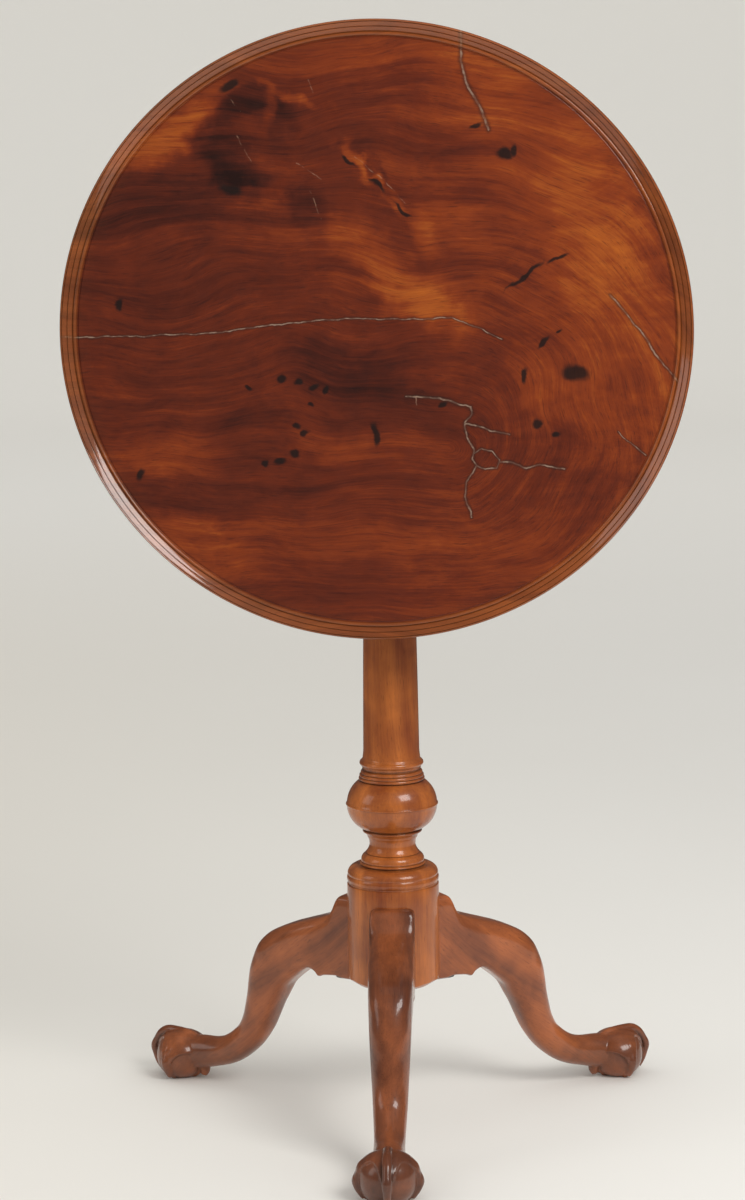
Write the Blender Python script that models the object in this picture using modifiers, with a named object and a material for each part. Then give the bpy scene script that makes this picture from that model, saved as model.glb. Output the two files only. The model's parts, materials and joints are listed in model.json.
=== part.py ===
"""Tilt-top stand in mahogany, as separate pieces: a dished oval top on two cleats, hinged to a turning birdcage,
on a turned pillar with three cabriole legs that end in claw-and-ball feet.

The stand is drawn with its top tipped up. +Z is up, the floor is z = 0, the tilt hinge runs along X and the face of
the top looks along -Y. The origin is the middle of the object's box on the floor. Units are metres.
"""

import math

import bmesh
import bpy
from mathutils import Matrix, Vector

# Driving dimensions ------------------------------------------------------------------------------------------------
GAP = 0.0003                      # gap kept between pieces that touch
AXIS_Y = 0.0572                   # the pillar's axis, behind the middle of the object's box

TOP_HALF_LENGTH = 0.2911          # along the grain
TOP_HALF_WIDTH = 0.2828           # across the grain, where the board has shrunk
TOP_THICKNESS = 0.0195
DISH_DEPTH = 0.0065
RIM_WIDTH = 0.0160
TOP_STEPS = 72
PILLAR_STEPS = 24
SMALL_STEPS = 12
FASTENER_STEPS = 8

PIVOT_FORWARD = 0.0780            # the tilt hinge, in front of the pillar's axis
PIVOT_HEIGHT = 0.6930
PIVOT_TO_UNDERSIDE = 0.0100
PIVOT_PIN_RADIUS = 0.0065
PIVOT_PIN_REACH = 0.0220          # length of each pin beyond the board's side

BOARD_THICKNESS = 0.0190
BOARD_HALF_WIDTH = 0.0860
BOARD_BACK = 0.0875
CAGE_OPEN_HEIGHT = 0.0720
COLUMN_OFFSET = 0.0620            # colonnettes from the pillar's axis, along X and along Y
COLUMN_TENON_RADIUS = 0.0050

CLEAT_WIDTH = 0.0320
CLEAT_DROP = 0.0120               # how far a cleat reaches below the hinge, with the top level
CLEAT_HALF_LENGTH = 0.2000

SHAFT_RADIUS = 0.0170
SHAFT_PIN_RADIUS = 0.0110
SHAFT_PIN_LENGTH = 0.0115
COLLAR_RADIUS = 0.0290
COLLAR_HEIGHT = 0.0130
KEY_LENGTH = 0.0600
KEY_THICKNESS = 0.0084
KEY_DEEP_END = 0.0150
KEY_SHALLOW_END = 0.0120

HUB_RADIUS = 0.0445
HUB_BOTTOM = 0.1330
TENON_INNER = 0.0310              # distance of the dovetail's wide face from the pillar's axis
TENON_OUTER = 0.0480
TENON_WIDE = 0.0105               # half widths
TENON_NARROW = 0.0068
TENON_TOP = 0.1980

LEG_ANGLES = {"leg_front": -85.5, "leg_right": 34.5, "leg_left": 154.5}
FOOT_DISTANCE = 0.2557
BALL_RADIUS = 0.0280
BALL_HALF_HEIGHT = 0.0250
BALL_CENTRE_HEIGHT = 0.0225

BRACE_THICKNESS = 0.0025
BRACE_REACH = 0.0660
NAIL_PLACES = (0.0200, 0.0570)    # distances of an arm's two nails from the pillar's axis

CATCH_FRONT = 0.1670              # distances from the hinge, with the top level
CATCH_BACK = 0.2070
CATCH_WALL = 0.0015
BOLT_NOSE = 0.1580
BOLT_TAIL = 0.1900
BOLT_HALF_WIDTH = 0.0045
BOLT_HALF_HEIGHT = 0.0030

UPPER_BOARD_BOTTOM = PIVOT_HEIGHT - BOARD_THICKNESS / 2
LOWER_BOARD_TOP = UPPER_BOARD_BOTTOM - CAGE_OPEN_HEIGHT
LOWER_BOARD_BOTTOM = LOWER_BOARD_TOP - BOARD_THICKNESS
COLLAR_TOP = LOWER_BOARD_TOP + GAP + COLLAR_HEIGHT
CLEAT_INNER = BOARD_HALF_WIDTH + 0.0025
UNDERSIDE = PIVOT_TO_UNDERSIDE


# Scene and materials -----------------------------------------------------------------------------------------------
for old in list(bpy.data.objects):
    bpy.data.objects.remove(old)

parts = bpy.data.collections.new("tilt_top_table")
cutters = bpy.data.collections.new("cutters")
for group in (parts, cutters):
    bpy.context.scene.collection.children.link(group)


def material(name, colour, roughness, metallic):
    made = bpy.data.materials.new(name)
    made.use_nodes = True
    shader = made.node_tree.nodes["Principled BSDF"]
    shader.inputs["Base Color"].default_value = (*colour, 1.0)
    shader.inputs["Roughness"].default_value = roughness
    shader.inputs["Metallic"].default_value = metallic
    return made


TOP_WOOD = material("figured_mahogany", (0.19, 0.050, 0.024), 0.28, 0.0)
PILLAR_WOOD = material("turned_mahogany", (0.30, 0.100, 0.042), 0.32, 0.0)
LEG_WOOD = material("carved_mahogany", (0.24, 0.080, 0.036), 0.32, 0.0)
CAGE_WOOD = material("plain_mahogany", (0.20, 0.085, 0.045), 0.55, 0.0)
BRASS = material("aged_brass", (0.56, 0.40, 0.17), 0.38, 1.0)
IRON = material("wrought_iron", (0.075, 0.068, 0.062), 0.65, 1.0)
STEEL = material("old_screw_steel", (0.20, 0.18, 0.16), 0.50, 1.0)


def empty(name, location, parent=None, rotation=(0.0, 0.0, 0.0)):
    made = bpy.data.objects.new(name, None)
    made.location = location
    made.rotation_euler = rotation
    made.parent = parent
    parts.objects.link(made)
    return made


pillar_axis = empty("pillar_axis", (0.0, AXIS_Y, 0.0))
cage_turn = empty("birdcage_turn", (0.0, 0.0, PIVOT_HEIGHT), pillar_axis)
# Under this empty the top is drawn level: its local Y points to the back of a level top and its local Z points up.
top_tilt = empty("top_tilt", (0.0, -PIVOT_FORWARD, 0.0), cage_turn, (math.pi / 2, 0.0, 0.0))
key_slide = empty("key_slide", (0.0, 0.0, COLLAR_TOP), pillar_axis)
bolt_slide = empty("bolt_slide", (0.0, BOLT_TAIL, 0.0), top_tilt)


# Modelling helpers -------------------------------------------------------------------------------------------------
def place(made, name, parent, location=(0.0, 0.0, 0.0), rotation=(0.0, 0.0, 0.0), finish=None):
    made.name = name
    made.data.name = name
    for group in list(made.users_collection):
        group.objects.unlink(made)
    (parts if finish else cutters).objects.link(made)
    made.parent = parent
    made.location = location
    made.rotation_euler = rotation
    if finish:
        made.data.materials.clear()
        made.data.materials.append(finish)
    else:
        made.hide_render = True
        made.display_type = "WIRE"
    return made


def object_from(mesh_builder, name):
    mesh = bpy.data.meshes.new(name)
    mesh_builder.to_mesh(mesh)
    mesh_builder.free()
    made = bpy.data.objects.new(name, mesh)
    bpy.context.scene.collection.objects.link(made)
    return made


def smooth(made, angle=35.0):
    made.data.shade_smooth()
    made.data.set_sharp_from_angle(angle=math.radians(angle))
    return made


def block(name, low, high):
    """A box between two corners."""
    low, high = Vector(low), Vector(high)
    shape = bmesh.new()
    bmesh.ops.create_cube(shape, size=1.0)
    bmesh.ops.scale(shape, vec=high - low, verts=shape.verts)
    bmesh.ops.translate(shape, vec=(low + high) / 2, verts=shape.verts)
    return object_from(shape, name)


def turned(name, profile, steps):
    """A solid of revolution about Z from (radius, height) points that run from its top down to its bottom."""
    shape = bmesh.new()
    points = [(0.0, profile[0][1]), *profile, (0.0, profile[-1][1])]
    verts = [shape.verts.new((radius, 0.0, height)) for radius, height in points]
    for first, second in zip(verts, verts[1:]):
        shape.edges.new((first, second))
    made = object_from(shape, name)
    screw = made.modifiers.new("turn", "SCREW")
    screw.steps = steps
    screw.render_steps = steps
    screw.use_merge_vertices = True
    screw.merge_threshold = 0.00005
    return made


def baked(made):
    """The same object with its modifiers worked into its mesh."""
    evaluated = made.evaluated_get(bpy.context.evaluated_depsgraph_get())
    mesh = bpy.data.meshes.new_from_object(evaluated)
    for modifier in list(made.modifiers):
        made.modifiers.remove(modifier)
    made.data = mesh
    return made


def outline(name, points, half_thickness, matrix):
    """A flat closed outline with a thickness, made a mesh and put in place by the matrix."""
    curve = bpy.data.curves.new(name, "CURVE")
    curve.dimensions = "2D"
    curve.fill_mode = "BOTH"
    curve.extrude = half_thickness
    spline = curve.splines.new("POLY")
    spline.points.add(len(points) - 1)
    for point, (x, y) in zip(spline.points, points):
        point.co = (x, y, 0.0, 1.0)
    spline.use_cyclic_u = True
    drawn = bpy.data.objects.new(name, curve)
    bpy.context.scene.collection.objects.link(drawn)
    mesh = bpy.data.meshes.new_from_object(drawn.evaluated_get(bpy.context.evaluated_depsgraph_get()))
    shape = bmesh.new()
    shape.from_mesh(mesh)
    bmesh.ops.remove_doubles(shape, verts=shape.verts, dist=0.00001)
    bmesh.ops.transform(shape, matrix=matrix, verts=shape.verts)
    bmesh.ops.recalc_face_normals(shape, faces=shape.faces)
    bpy.data.objects.remove(drawn)
    return object_from(shape, name)


def loft(name, rings):
    """A closed skin over rings that all have the same number of points, with a flat cap on each end."""
    shape = bmesh.new()
    loops = [[shape.verts.new(point) for point in ring] for ring in rings]
    count = len(loops[0])
    for near, far in zip(loops, loops[1:]):
        for i in range(count):
            j = (i + 1) % count
            shape.faces.new((near[i], near[j], far[j], far[i]))
    shape.faces.new(loops[0][::-1])
    shape.faces.new(loops[-1])
    bmesh.ops.recalc_face_normals(shape, faces=shape.faces)
    return object_from(shape, name)


def boolean(target, other, operation="DIFFERENCE"):
    modifier = target.modifiers.new(f"{operation.lower()}_{other.name}", "BOOLEAN")
    modifier.operation = operation
    modifier.object = other
    return modifier


def bevel(made, width, segments=2, angle=40.0):
    modifier = made.modifiers.new("rounded_edges", "BEVEL")
    modifier.width = width
    modifier.segments = segments
    modifier.limit_method = "ANGLE"
    modifier.angle_limit = math.radians(angle)
    return made


def joined(name, shapes):
    """One mesh of several separate shapes, for use as a cutter."""
    together = bmesh.new()
    for shape in shapes:
        baked(shape)
        part = shape.data.copy()
        part.transform(Matrix.LocRotScale(shape.location, shape.rotation_euler, None))
        together.from_mesh(part)
        bpy.data.objects.remove(shape)
    return object_from(together, name)


def smooth_line(points, count):
    """Points at even steps along a Catmull-Rom line through the given points."""
    points = [Vector(point) for point in points]
    padded = [2 * points[0] - points[1], *points, 2 * points[-1] - points[-2]]
    result = []
    for i in range(count):
        at = i / (count - 1) * (len(points) - 1)
        start = min(int(at), len(points) - 2)
        t = at - start
        a, b, c, d = padded[start:start + 4]
        curve = 2 * b + (c - a) * t + (2 * a - 5 * b + 4 * c - d) * t ** 2 + (3 * b - a - 3 * c + d) * t ** 3
        result.append(curve / 2)
    return result


def fastener_profile(head_radius, head_height, shank_radius, length, extra=0.0):
    """Countersunk screw with its head up and its point down, grown by extra for its hole."""
    return [
        (head_radius + extra, extra),
        (head_radius + extra, -0.0004),
        (shank_radius + extra, -head_height),
        (shank_radius + extra, -length + 0.004),
        (shank_radius * 0.35 + extra, -length - extra),
    ]


def fastener(name, sizes, parent, location, rotation=(0.0, 0.0, 0.0)):
    made = turned(name, fastener_profile(*sizes), FASTENER_STEPS)
    return smooth(place(made, name, parent, location, rotation, STEEL))


def fastener_hole(sizes, location, rotation=(0.0, 0.0, 0.0)):
    made = turned("hole", fastener_profile(*sizes, extra=GAP), FASTENER_STEPS)
    made.location = location
    made.rotation_euler = rotation
    return made


# The top -----------------------------------------------------------------------------------------------------------
CLEAT_SCREW = (0.0042, 0.0030, 0.0020, 0.0300)
CATCH_SCREW = (0.0022, 0.0012, 0.0010, 0.0085)
POINT_UP = (math.pi, 0.0, 0.0)
CLEAT_SCREW_PLACES = (-0.150, 0.045, 0.150)       # from the middle of the top, across the grain
CLEAT_MIDDLE = CLEAT_INNER + CLEAT_WIDTH / 2
CATCH_SCREW_X = 0.0130
CATCH_SCREW_Y = (CATCH_FRONT + 0.005, CATCH_BACK - 0.005)
HEAD_BURY = 0.0002


def cleat_screw_location(side, place_across):
    return (side * CLEAT_MIDDLE, PIVOT_FORWARD + place_across, -CLEAT_DROP + HEAD_BURY)


def catch_screw_locations():
    return [(x, y, UNDERSIDE - GAP - CATCH_WALL) for x in (-CATCH_SCREW_X, CATCH_SCREW_X) for y in CATCH_SCREW_Y]


def table_top():
    radius = TOP_HALF_LENGTH
    floor = TOP_THICKNESS - DISH_DEPTH
    profile = [
        (radius - RIM_WIDTH - 0.0030, floor),
        (radius - RIM_WIDTH, floor + 0.0006),
        (radius - RIM_WIDTH + 0.0012, floor + 0.0026),
        (radius - RIM_WIDTH + 0.0036, floor + 0.0028),
        (radius - RIM_WIDTH + 0.0044, floor + 0.0020),
        (radius - 0.0100, TOP_THICKNESS - 0.0010),
        (radius - 0.0070, TOP_THICKNESS),
        (radius - 0.0035, TOP_THICKNESS - 0.0004),
        (radius - 0.0024, TOP_THICKNESS - 0.0018),
        (radius - 0.0008, TOP_THICKNESS - 0.0032),
        (radius, TOP_THICKNESS - 0.0060),
        (radius - 0.0012, TOP_THICKNESS - 0.0095),
        (radius - 0.0070, TOP_THICKNESS - 0.0140),
        (radius - 0.0200, 0.0020),
        (radius - 0.0340, 0.0),
    ]
    made = baked(turned("table_top", profile, TOP_STEPS))
    made.data.transform(Matrix.Diagonal((1.0, TOP_HALF_WIDTH / TOP_HALF_LENGTH, 1.0, 1.0)))
    place(made, "table_top", top_tilt, (0.0, PIVOT_FORWARD, UNDERSIDE), finish=TOP_WOOD)
    holes = [
        fastener_hole(CLEAT_SCREW, cleat_screw_location(side, across), POINT_UP)
        for side in (-1, 1)
        for across in CLEAT_SCREW_PLACES
    ]
    holes += [fastener_hole(CATCH_SCREW, at, POINT_UP) for at in catch_screw_locations()]
    boolean(made, place(joined("top_screw_holes", holes), "top_screw_holes", top_tilt))
    return smooth(made)


def cleat(name, side):
    """A batten with scooped ends, screwed across the grain of the top and bored for one pivot pin."""
    top = UNDERSIDE - GAP
    end_depth = 0.0090
    scoop = 0.0550
    curve_points = 5
    low_end = PIVOT_FORWARD - CLEAT_HALF_LENGTH
    high_end = PIVOT_FORWARD + CLEAT_HALF_LENGTH
    points = [(low_end, top), (high_end, top)]
    for i in range(curve_points):
        turn = i / (curve_points - 1) * math.pi
        rise = (top - end_depth + CLEAT_DROP) * (1 + math.cos(turn)) / 2
        points.append((high_end - scoop * i / (curve_points - 1), -CLEAT_DROP + rise))
    points += [(2 * PIVOT_FORWARD - y, z) for y, z in points[:1:-1]]
    upright = Matrix(((0, 0, 1, side * CLEAT_MIDDLE), (1, 0, 0, 0), (0, 1, 0, 0), (0, 0, 0, 1)))
    made = outline(name, points, CLEAT_WIDTH / 2, upright)
    place(made, name, top_tilt, finish=CAGE_WOOD)
    bevel(made, 0.0012, 1, 50.0)
    bore = turned("bore", [(PIVOT_PIN_RADIUS + GAP, 0.024), (PIVOT_PIN_RADIUS + GAP, -0.024)], PILLAR_STEPS)
    bore.rotation_euler = (0.0, math.pi / 2, 0.0)
    bore.location = (side * CLEAT_INNER, 0.0, 0.0)
    holes = [
        fastener_hole(CLEAT_SCREW, cleat_screw_location(side, across), POINT_UP)
        for across in CLEAT_SCREW_PLACES
    ]
    boolean(made, place(joined(f"{name}_bores", [bore, *holes]), f"{name}_bores", top_tilt))
    return made


# The catch ---------------------------------------------------------------------------------------------------------
KNOB_PLACE = 0.1760
KNOB_STEM = 0.0015
BOLT_TRAVEL = 0.0080


def catch_case():
    """A cast brass box on a screwed flange: a guide for the bolt, with a slot below for the knob."""
    top = UNDERSIDE - GAP
    half = BOLT_HALF_WIDTH + GAP
    low = -BOLT_HALF_HEIGHT - GAP
    flange = block("catch_case", (-0.017, CATCH_FRONT, top - CATCH_WALL), (0.017, CATCH_BACK, top))
    place(flange, "catch_case", top_tilt, finish=BRASS)
    box = block(
        "case_box",
        (-half - CATCH_WALL, CATCH_FRONT, low - CATCH_WALL),
        (half + CATCH_WALL, CATCH_BACK, top - 0.0005),
    )
    boolean(flange, place(box, "case_box", top_tilt), "UNION")
    guide = block("guide", (-half, CATCH_FRONT - 0.004, low), (half, CATCH_BACK - CATCH_WALL, -low))
    pocket = block(
        "pocket",
        (-half, CATCH_FRONT + CATCH_WALL, -low + CATCH_WALL),
        (half, CATCH_BACK - CATCH_WALL, top + 0.004),
    )
    slot = block(
        "slot",
        (-KNOB_STEM - GAP, KNOB_PLACE - KNOB_STEM - GAP, low - 0.004),
        (KNOB_STEM + GAP, KNOB_PLACE + KNOB_STEM + GAP + BOLT_TRAVEL, low + 0.001),
    )
    boolean(flange, place(joined("catch_guide", [guide]), "catch_guide", top_tilt))
    boolean(flange, place(joined("catch_pocket", [pocket]), "catch_pocket", top_tilt))
    boolean(flange, place(joined("catch_slot", [slot]), "catch_slot", top_tilt))
    holes = [fastener_hole(CATCH_SCREW, at, POINT_UP) for at in catch_screw_locations()]
    boolean(flange, place(joined("catch_screw_holes", holes), "catch_screw_holes", top_tilt))
    return flange


def catch_bolt():
    """The sprung bolt: a bar whose nose slopes on its upper side, so that it rides over the keeper as the top comes down."""
    nose = BOLT_NOSE - BOLT_TAIL
    points = [
        (0.0, -BOLT_HALF_HEIGHT),
        (0.0, BOLT_HALF_HEIGHT),
        (nose + 0.0060, BOLT_HALF_HEIGHT),
        (nose, BOLT_HALF_HEIGHT - 0.0015),
        (nose, -BOLT_HALF_HEIGHT + 0.0012),
        (nose + 0.0014, -BOLT_HALF_HEIGHT),
    ]
    upright = Matrix(((0, 0, 1, 0), (1, 0, 0, 0), (0, 1, 0, 0), (0, 0, 0, 1)))
    made = outline("catch_bolt", points, BOLT_HALF_WIDTH, upright)
    return place(made, "catch_bolt", bolt_slide, finish=BRASS)


def catch_knob():
    top = -BOLT_HALF_HEIGHT - GAP
    profile = [
        (KNOB_STEM, top),
        (KNOB_STEM, top - 0.0050),
        (0.0032, top - 0.0060),
        (0.0046, top - 0.0078),
        (0.0042, top - 0.0096),
        (0.0022, top - 0.0106),
    ]
    made = turned("catch_knob", profile, SMALL_STEPS)
    return smooth(place(made, "catch_knob", bolt_slide, (0.0, KNOB_PLACE - BOLT_TAIL, 0.0), finish=BRASS), 50.0)


def catch_spring():
    """Five open turns of wire behind the bolt."""
    turns = 5
    points_a_turn = 9
    radius = 0.0024
    wire = 0.0004
    start = BOLT_TAIL + GAP + wire
    end = CATCH_BACK - CATCH_WALL - GAP - wire
    curve = bpy.data.curves.new("catch_spring", "CURVE")
    curve.dimensions = "3D"
    curve.bevel_depth = wire
    curve.bevel_resolution = 1
    curve.use_fill_caps = True
    spline = curve.splines.new("POLY")
    count = turns * points_a_turn + 1
    spline.points.add(count - 1)
    for i, point in enumerate(spline.points):
        turn = 2 * math.pi * i / points_a_turn
        along = start + (end - start) * i / (count - 1)
        point.co = (radius * math.cos(turn), along, radius * math.sin(turn), 1.0)
    made = bpy.data.objects.new("catch_spring", curve)
    bpy.context.scene.collection.objects.link(made)
    return place(made, "catch_spring", top_tilt, finish=STEEL)


# The birdcage ------------------------------------------------------------------------------------------------------
KEEPER_SCREW = (0.0022, 0.0012, 0.0010, 0.0100)
KEEPER_HALF_LENGTH = 0.0170
KEEPER_HALF_HEIGHT = 0.0055
KEEPER_THICKNESS = 0.0015
KEEPER_SCREW_X = 0.0120
POINT_FORWARD = (-math.pi / 2, 0.0, 0.0)          # a screw whose head faces the back
COLUMN_PLACES = {
    "colonnette_front_left": (-1, -1),
    "colonnette_front_right": (1, -1),
    "colonnette_back_left": (-1, 1),
    "colonnette_back_right": (1, 1),
}


def tenon_holes(low, high):
    holes = []
    for across, along in COLUMN_PLACES.values():
        radius = COLUMN_TENON_RADIUS + GAP
        hole = turned("tenon_hole", [(radius, high + 0.002), (radius, low - 0.002)], SMALL_STEPS)
        hole.location = (across * COLUMN_OFFSET, along * COLUMN_OFFSET, 0.0)
        holes.append(hole)
    return holes


def upper_board():
    """The hinged board: its front edge is a nosing round the hinge line, and its pivot pins are one with it."""
    half = BOARD_THICKNESS / 2
    nosing_points = 8
    points = [(BOARD_BACK, -half), (BOARD_BACK, half)]
    for i in range(nosing_points + 1):
        turn = math.pi / 2 + math.pi * i / nosing_points
        points.append((-PIVOT_FORWARD + half * math.cos(turn), half * math.sin(turn)))
    upright = Matrix(((0, 0, 1, 0), (1, 0, 0, 0), (0, 1, 0, 0), (0, 0, 0, 1)))
    made = outline("birdcage_upper_board", points, BOARD_HALF_WIDTH, upright)
    place(made, "birdcage_upper_board", cage_turn, finish=CAGE_WOOD)
    reach = BOARD_HALF_WIDTH + PIVOT_PIN_REACH
    pins = turned("pivot_pins", [(PIVOT_PIN_RADIUS, reach), (PIVOT_PIN_RADIUS, -reach)], PILLAR_STEPS)
    boolean(made, place(pins, "pivot_pins", cage_turn, (0.0, -PIVOT_FORWARD, 0.0), (0.0, math.pi / 2, 0.0)), "UNION")
    socket_radius = SHAFT_PIN_RADIUS + GAP
    socket = turned("socket", [(socket_radius, -half + SHAFT_PIN_LENGTH + GAP), (socket_radius, -half - 0.004)], PILLAR_STEPS)
    holes = joined("upper_board_bores", [socket, *tenon_holes(-half, half)])
    boolean(made, place(holes, "upper_board_bores", cage_turn))
    recess = block(
        "keeper_recess",
        (-KEEPER_HALF_LENGTH - GAP, BOARD_BACK - KEEPER_THICKNESS - GAP, -KEEPER_HALF_HEIGHT - GAP),
        (KEEPER_HALF_LENGTH + GAP, BOARD_BACK + 0.002, KEEPER_HALF_HEIGHT + GAP),
    )
    boolean(made, place(recess, "keeper_recess", cage_turn))
    mortise = block(
        "bolt_mortise",
        (-0.0060, BOARD_BACK - 0.0130, -0.0042),
        (0.0060, BOARD_BACK, 0.0042),
    )
    boolean(made, place(mortise, "bolt_mortise", cage_turn))
    screw_holes = [
        fastener_hole(KEEPER_SCREW, (x, BOARD_BACK, 0.0), POINT_FORWARD) for x in (-KEEPER_SCREW_X, KEEPER_SCREW_X)
    ]
    boolean(made, place(joined("keeper_screw_bores", screw_holes), "keeper_screw_bores", cage_turn))
    return smooth(made)


def keeper_plate():
    made = block(
        "keeper_plate",
        (-KEEPER_HALF_LENGTH, BOARD_BACK - KEEPER_THICKNESS, -KEEPER_HALF_HEIGHT),
        (KEEPER_HALF_LENGTH, BOARD_BACK, KEEPER_HALF_HEIGHT),
    )
    place(made, "keeper_plate", cage_turn, finish=BRASS)
    window = block("keeper_window", (-0.0052, BOARD_BACK - 0.004, -0.0036), (0.0052, BOARD_BACK + 0.002, 0.0036))
    screw_holes = [
        fastener_hole(KEEPER_SCREW, (x, BOARD_BACK, 0.0), POINT_FORWARD) for x in (-KEEPER_SCREW_X, KEEPER_SCREW_X)
    ]
    openings = joined("keeper_openings", [window, *screw_holes])
    boolean(made, place(openings, "keeper_openings", cage_turn))
    return made


def lower_board():
    """The turning board: it sits on the pillar's shoulder, and its front edge stops the top when it is tipped up."""
    front = -PIVOT_FORWARD - PIVOT_TO_UNDERSIDE + GAP
    made = block(
        "birdcage_lower_board",
        (-BOARD_HALF_WIDTH, front, LOWER_BOARD_BOTTOM - PIVOT_HEIGHT),
        (BOARD_HALF_WIDTH, BOARD_BACK, LOWER_BOARD_TOP - PIVOT_HEIGHT),
    )
    place(made, "birdcage_lower_board", cage_turn, finish=CAGE_WOOD)
    low = LOWER_BOARD_BOTTOM - PIVOT_HEIGHT
    high = LOWER_BOARD_TOP - PIVOT_HEIGHT
    radius = SHAFT_RADIUS + GAP
    bore = turned("shaft_bore", [(radius, high + 0.002), (radius, low - 0.002)], PILLAR_STEPS)
    holes = joined("lower_board_bores", [bore, *tenon_holes(low, high)])
    boolean(made, place(holes, "lower_board_bores", cage_turn))
    return smooth(made)


def colonnette(name, across, along):
    """A small turned vase between the boards, with a round tenon through each."""
    low = LOWER_BOARD_TOP - PIVOT_HEIGHT + GAP
    high = UPPER_BOARD_BOTTOM - PIVOT_HEIGHT - GAP
    height = high - low
    tenon = COLUMN_TENON_RADIUS
    shape = [(0.0085, 1.00), (0.0085, 0.93), (0.0062, 0.90), (0.0052, 0.82), (0.0056, 0.66), (0.0082, 0.46),
             (0.0104, 0.32), (0.0098, 0.22), (0.0064, 0.13), (0.0060, 0.10), (0.0088, 0.07), (0.0088, 0.00)]
    profile = [(tenon, high + BOARD_THICKNESS)]
    profile += [(tenon, high)]
    profile += [(radius, low + share * height) for radius, share in shape]
    profile += [(tenon, low)]
    profile += [(tenon, low - BOARD_THICKNESS)]
    made = turned(name, profile, SMALL_STEPS)
    at = (across * COLUMN_OFFSET, along * COLUMN_OFFSET, 0.0)
    return smooth(place(made, name, cage_turn, at, finish=CAGE_WOOD))


def turning_collar():
    radius = COLLAR_RADIUS
    low = LOWER_BOARD_TOP + GAP
    profile = [
        (radius - 0.0040, COLLAR_TOP),
        (radius - 0.0012, COLLAR_TOP - 0.0018),
        (radius - 0.0012, COLLAR_TOP - 0.0036),
        (radius - 0.0030, COLLAR_TOP - 0.0048),
        (radius, COLLAR_TOP - 0.0080),
        (radius, low),
    ]
    made = turned("turning_collar", profile, PILLAR_STEPS)
    place(made, "turning_collar", pillar_axis, finish=CAGE_WOOD)
    hole_radius = SHAFT_RADIUS + GAP
    hole = turned("collar_bore", [(hole_radius, COLLAR_TOP + 0.002), (hole_radius, low - 0.002)], PILLAR_STEPS)
    boolean(made, place(hole, "collar_bore", pillar_axis))
    return smooth(made)


def wedge_key():
    """The tapered key through the shaft, which holds the collar and the birdcage down."""
    half = KEY_LENGTH / 2
    low = GAP
    points = [
        (-half, low),
        (half, low),
        (half, low + KEY_DEEP_END),
        (-half, low + KEY_SHALLOW_END),
    ]
    upright = Matrix.Rotation(math.pi / 2, 4, "X")
    made = outline("wedge_key", points, KEY_THICKNESS / 2, upright)
    place(made, "wedge_key", key_slide, finish=CAGE_WOOD)
    return bevel(made, 0.0008, 1)


# The pillar --------------------------------------------------------------------------------------------------------
def pillar_profile():
    """Radius and height from the pin at the top, down the shaft, the neck, the ball and the cove to the hub."""
    pin_top = UPPER_BOARD_BOTTOM + SHAFT_PIN_LENGTH
    shoulder = LOWER_BOARD_BOTTOM - GAP
    return [
        (SHAFT_PIN_RADIUS, pin_top),
        (SHAFT_PIN_RADIUS, UPPER_BOARD_BOTTOM - 0.001),
        (SHAFT_RADIUS, UPPER_BOARD_BOTTOM - 0.001),
        (SHAFT_RADIUS, shoulder),
        (0.0262, shoulder),
        (0.0270, shoulder - 0.0030),
        (0.0262, shoulder - 0.0070),
        (0.0240, shoulder - 0.0085),
        (0.0232, shoulder - 0.0140),
        (0.0246, 0.5300),
        (0.0262, 0.4500),
        (0.0279, 0.3575),
        (0.0294, 0.3545),
        (0.0309, 0.3508),
        (0.0294, 0.3475),
        (0.0270, 0.3450),
        (0.0290, 0.3415),
        (0.0314, 0.3375),
        (0.0333, 0.3333),
        (0.0362, 0.3301),
        (0.0401, 0.3243),
        (0.0425, 0.3184),
        (0.0443, 0.3110),
        (0.0430, 0.3036),
        (0.0406, 0.2976),
        (0.0363, 0.2916),
        (0.0290, 0.2860),
        (0.0286, 0.2832),
        (0.0242, 0.2767),
        (0.0223, 0.2722),
        (0.0242, 0.2648),
        (0.0286, 0.2592),
        (0.0300, 0.2560),
        (0.0312, 0.2525),
        (0.0339, 0.2495),
        (0.0398, 0.2470),
        (0.0441, 0.2420),
        (0.0438, 0.2408),
        (0.0446, 0.2385),
        (0.0446, 0.2345),
        (0.0440, 0.2325),
        (HUB_RADIUS, 0.2310),
        (HUB_RADIUS, HUB_BOTTOM),
    ]


def dovetail(name, extra, low, high):
    """A dovetail tenon that points at the pillar's axis from +X, grown by extra for its socket."""
    slope = (TENON_WIDE - TENON_NARROW) / (TENON_OUTER - TENON_INNER)
    inner = TENON_INNER - extra
    wide = TENON_WIDE + extra * (1 + slope)
    narrow = TENON_NARROW + extra
    points = [(inner, -wide), (TENON_OUTER, -narrow), (TENON_OUTER, narrow), (inner, wide)]
    lift = Matrix.Translation((0.0, 0.0, (low + high) / 2))
    return outline(name, points, (high - low) / 2, lift)


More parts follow.
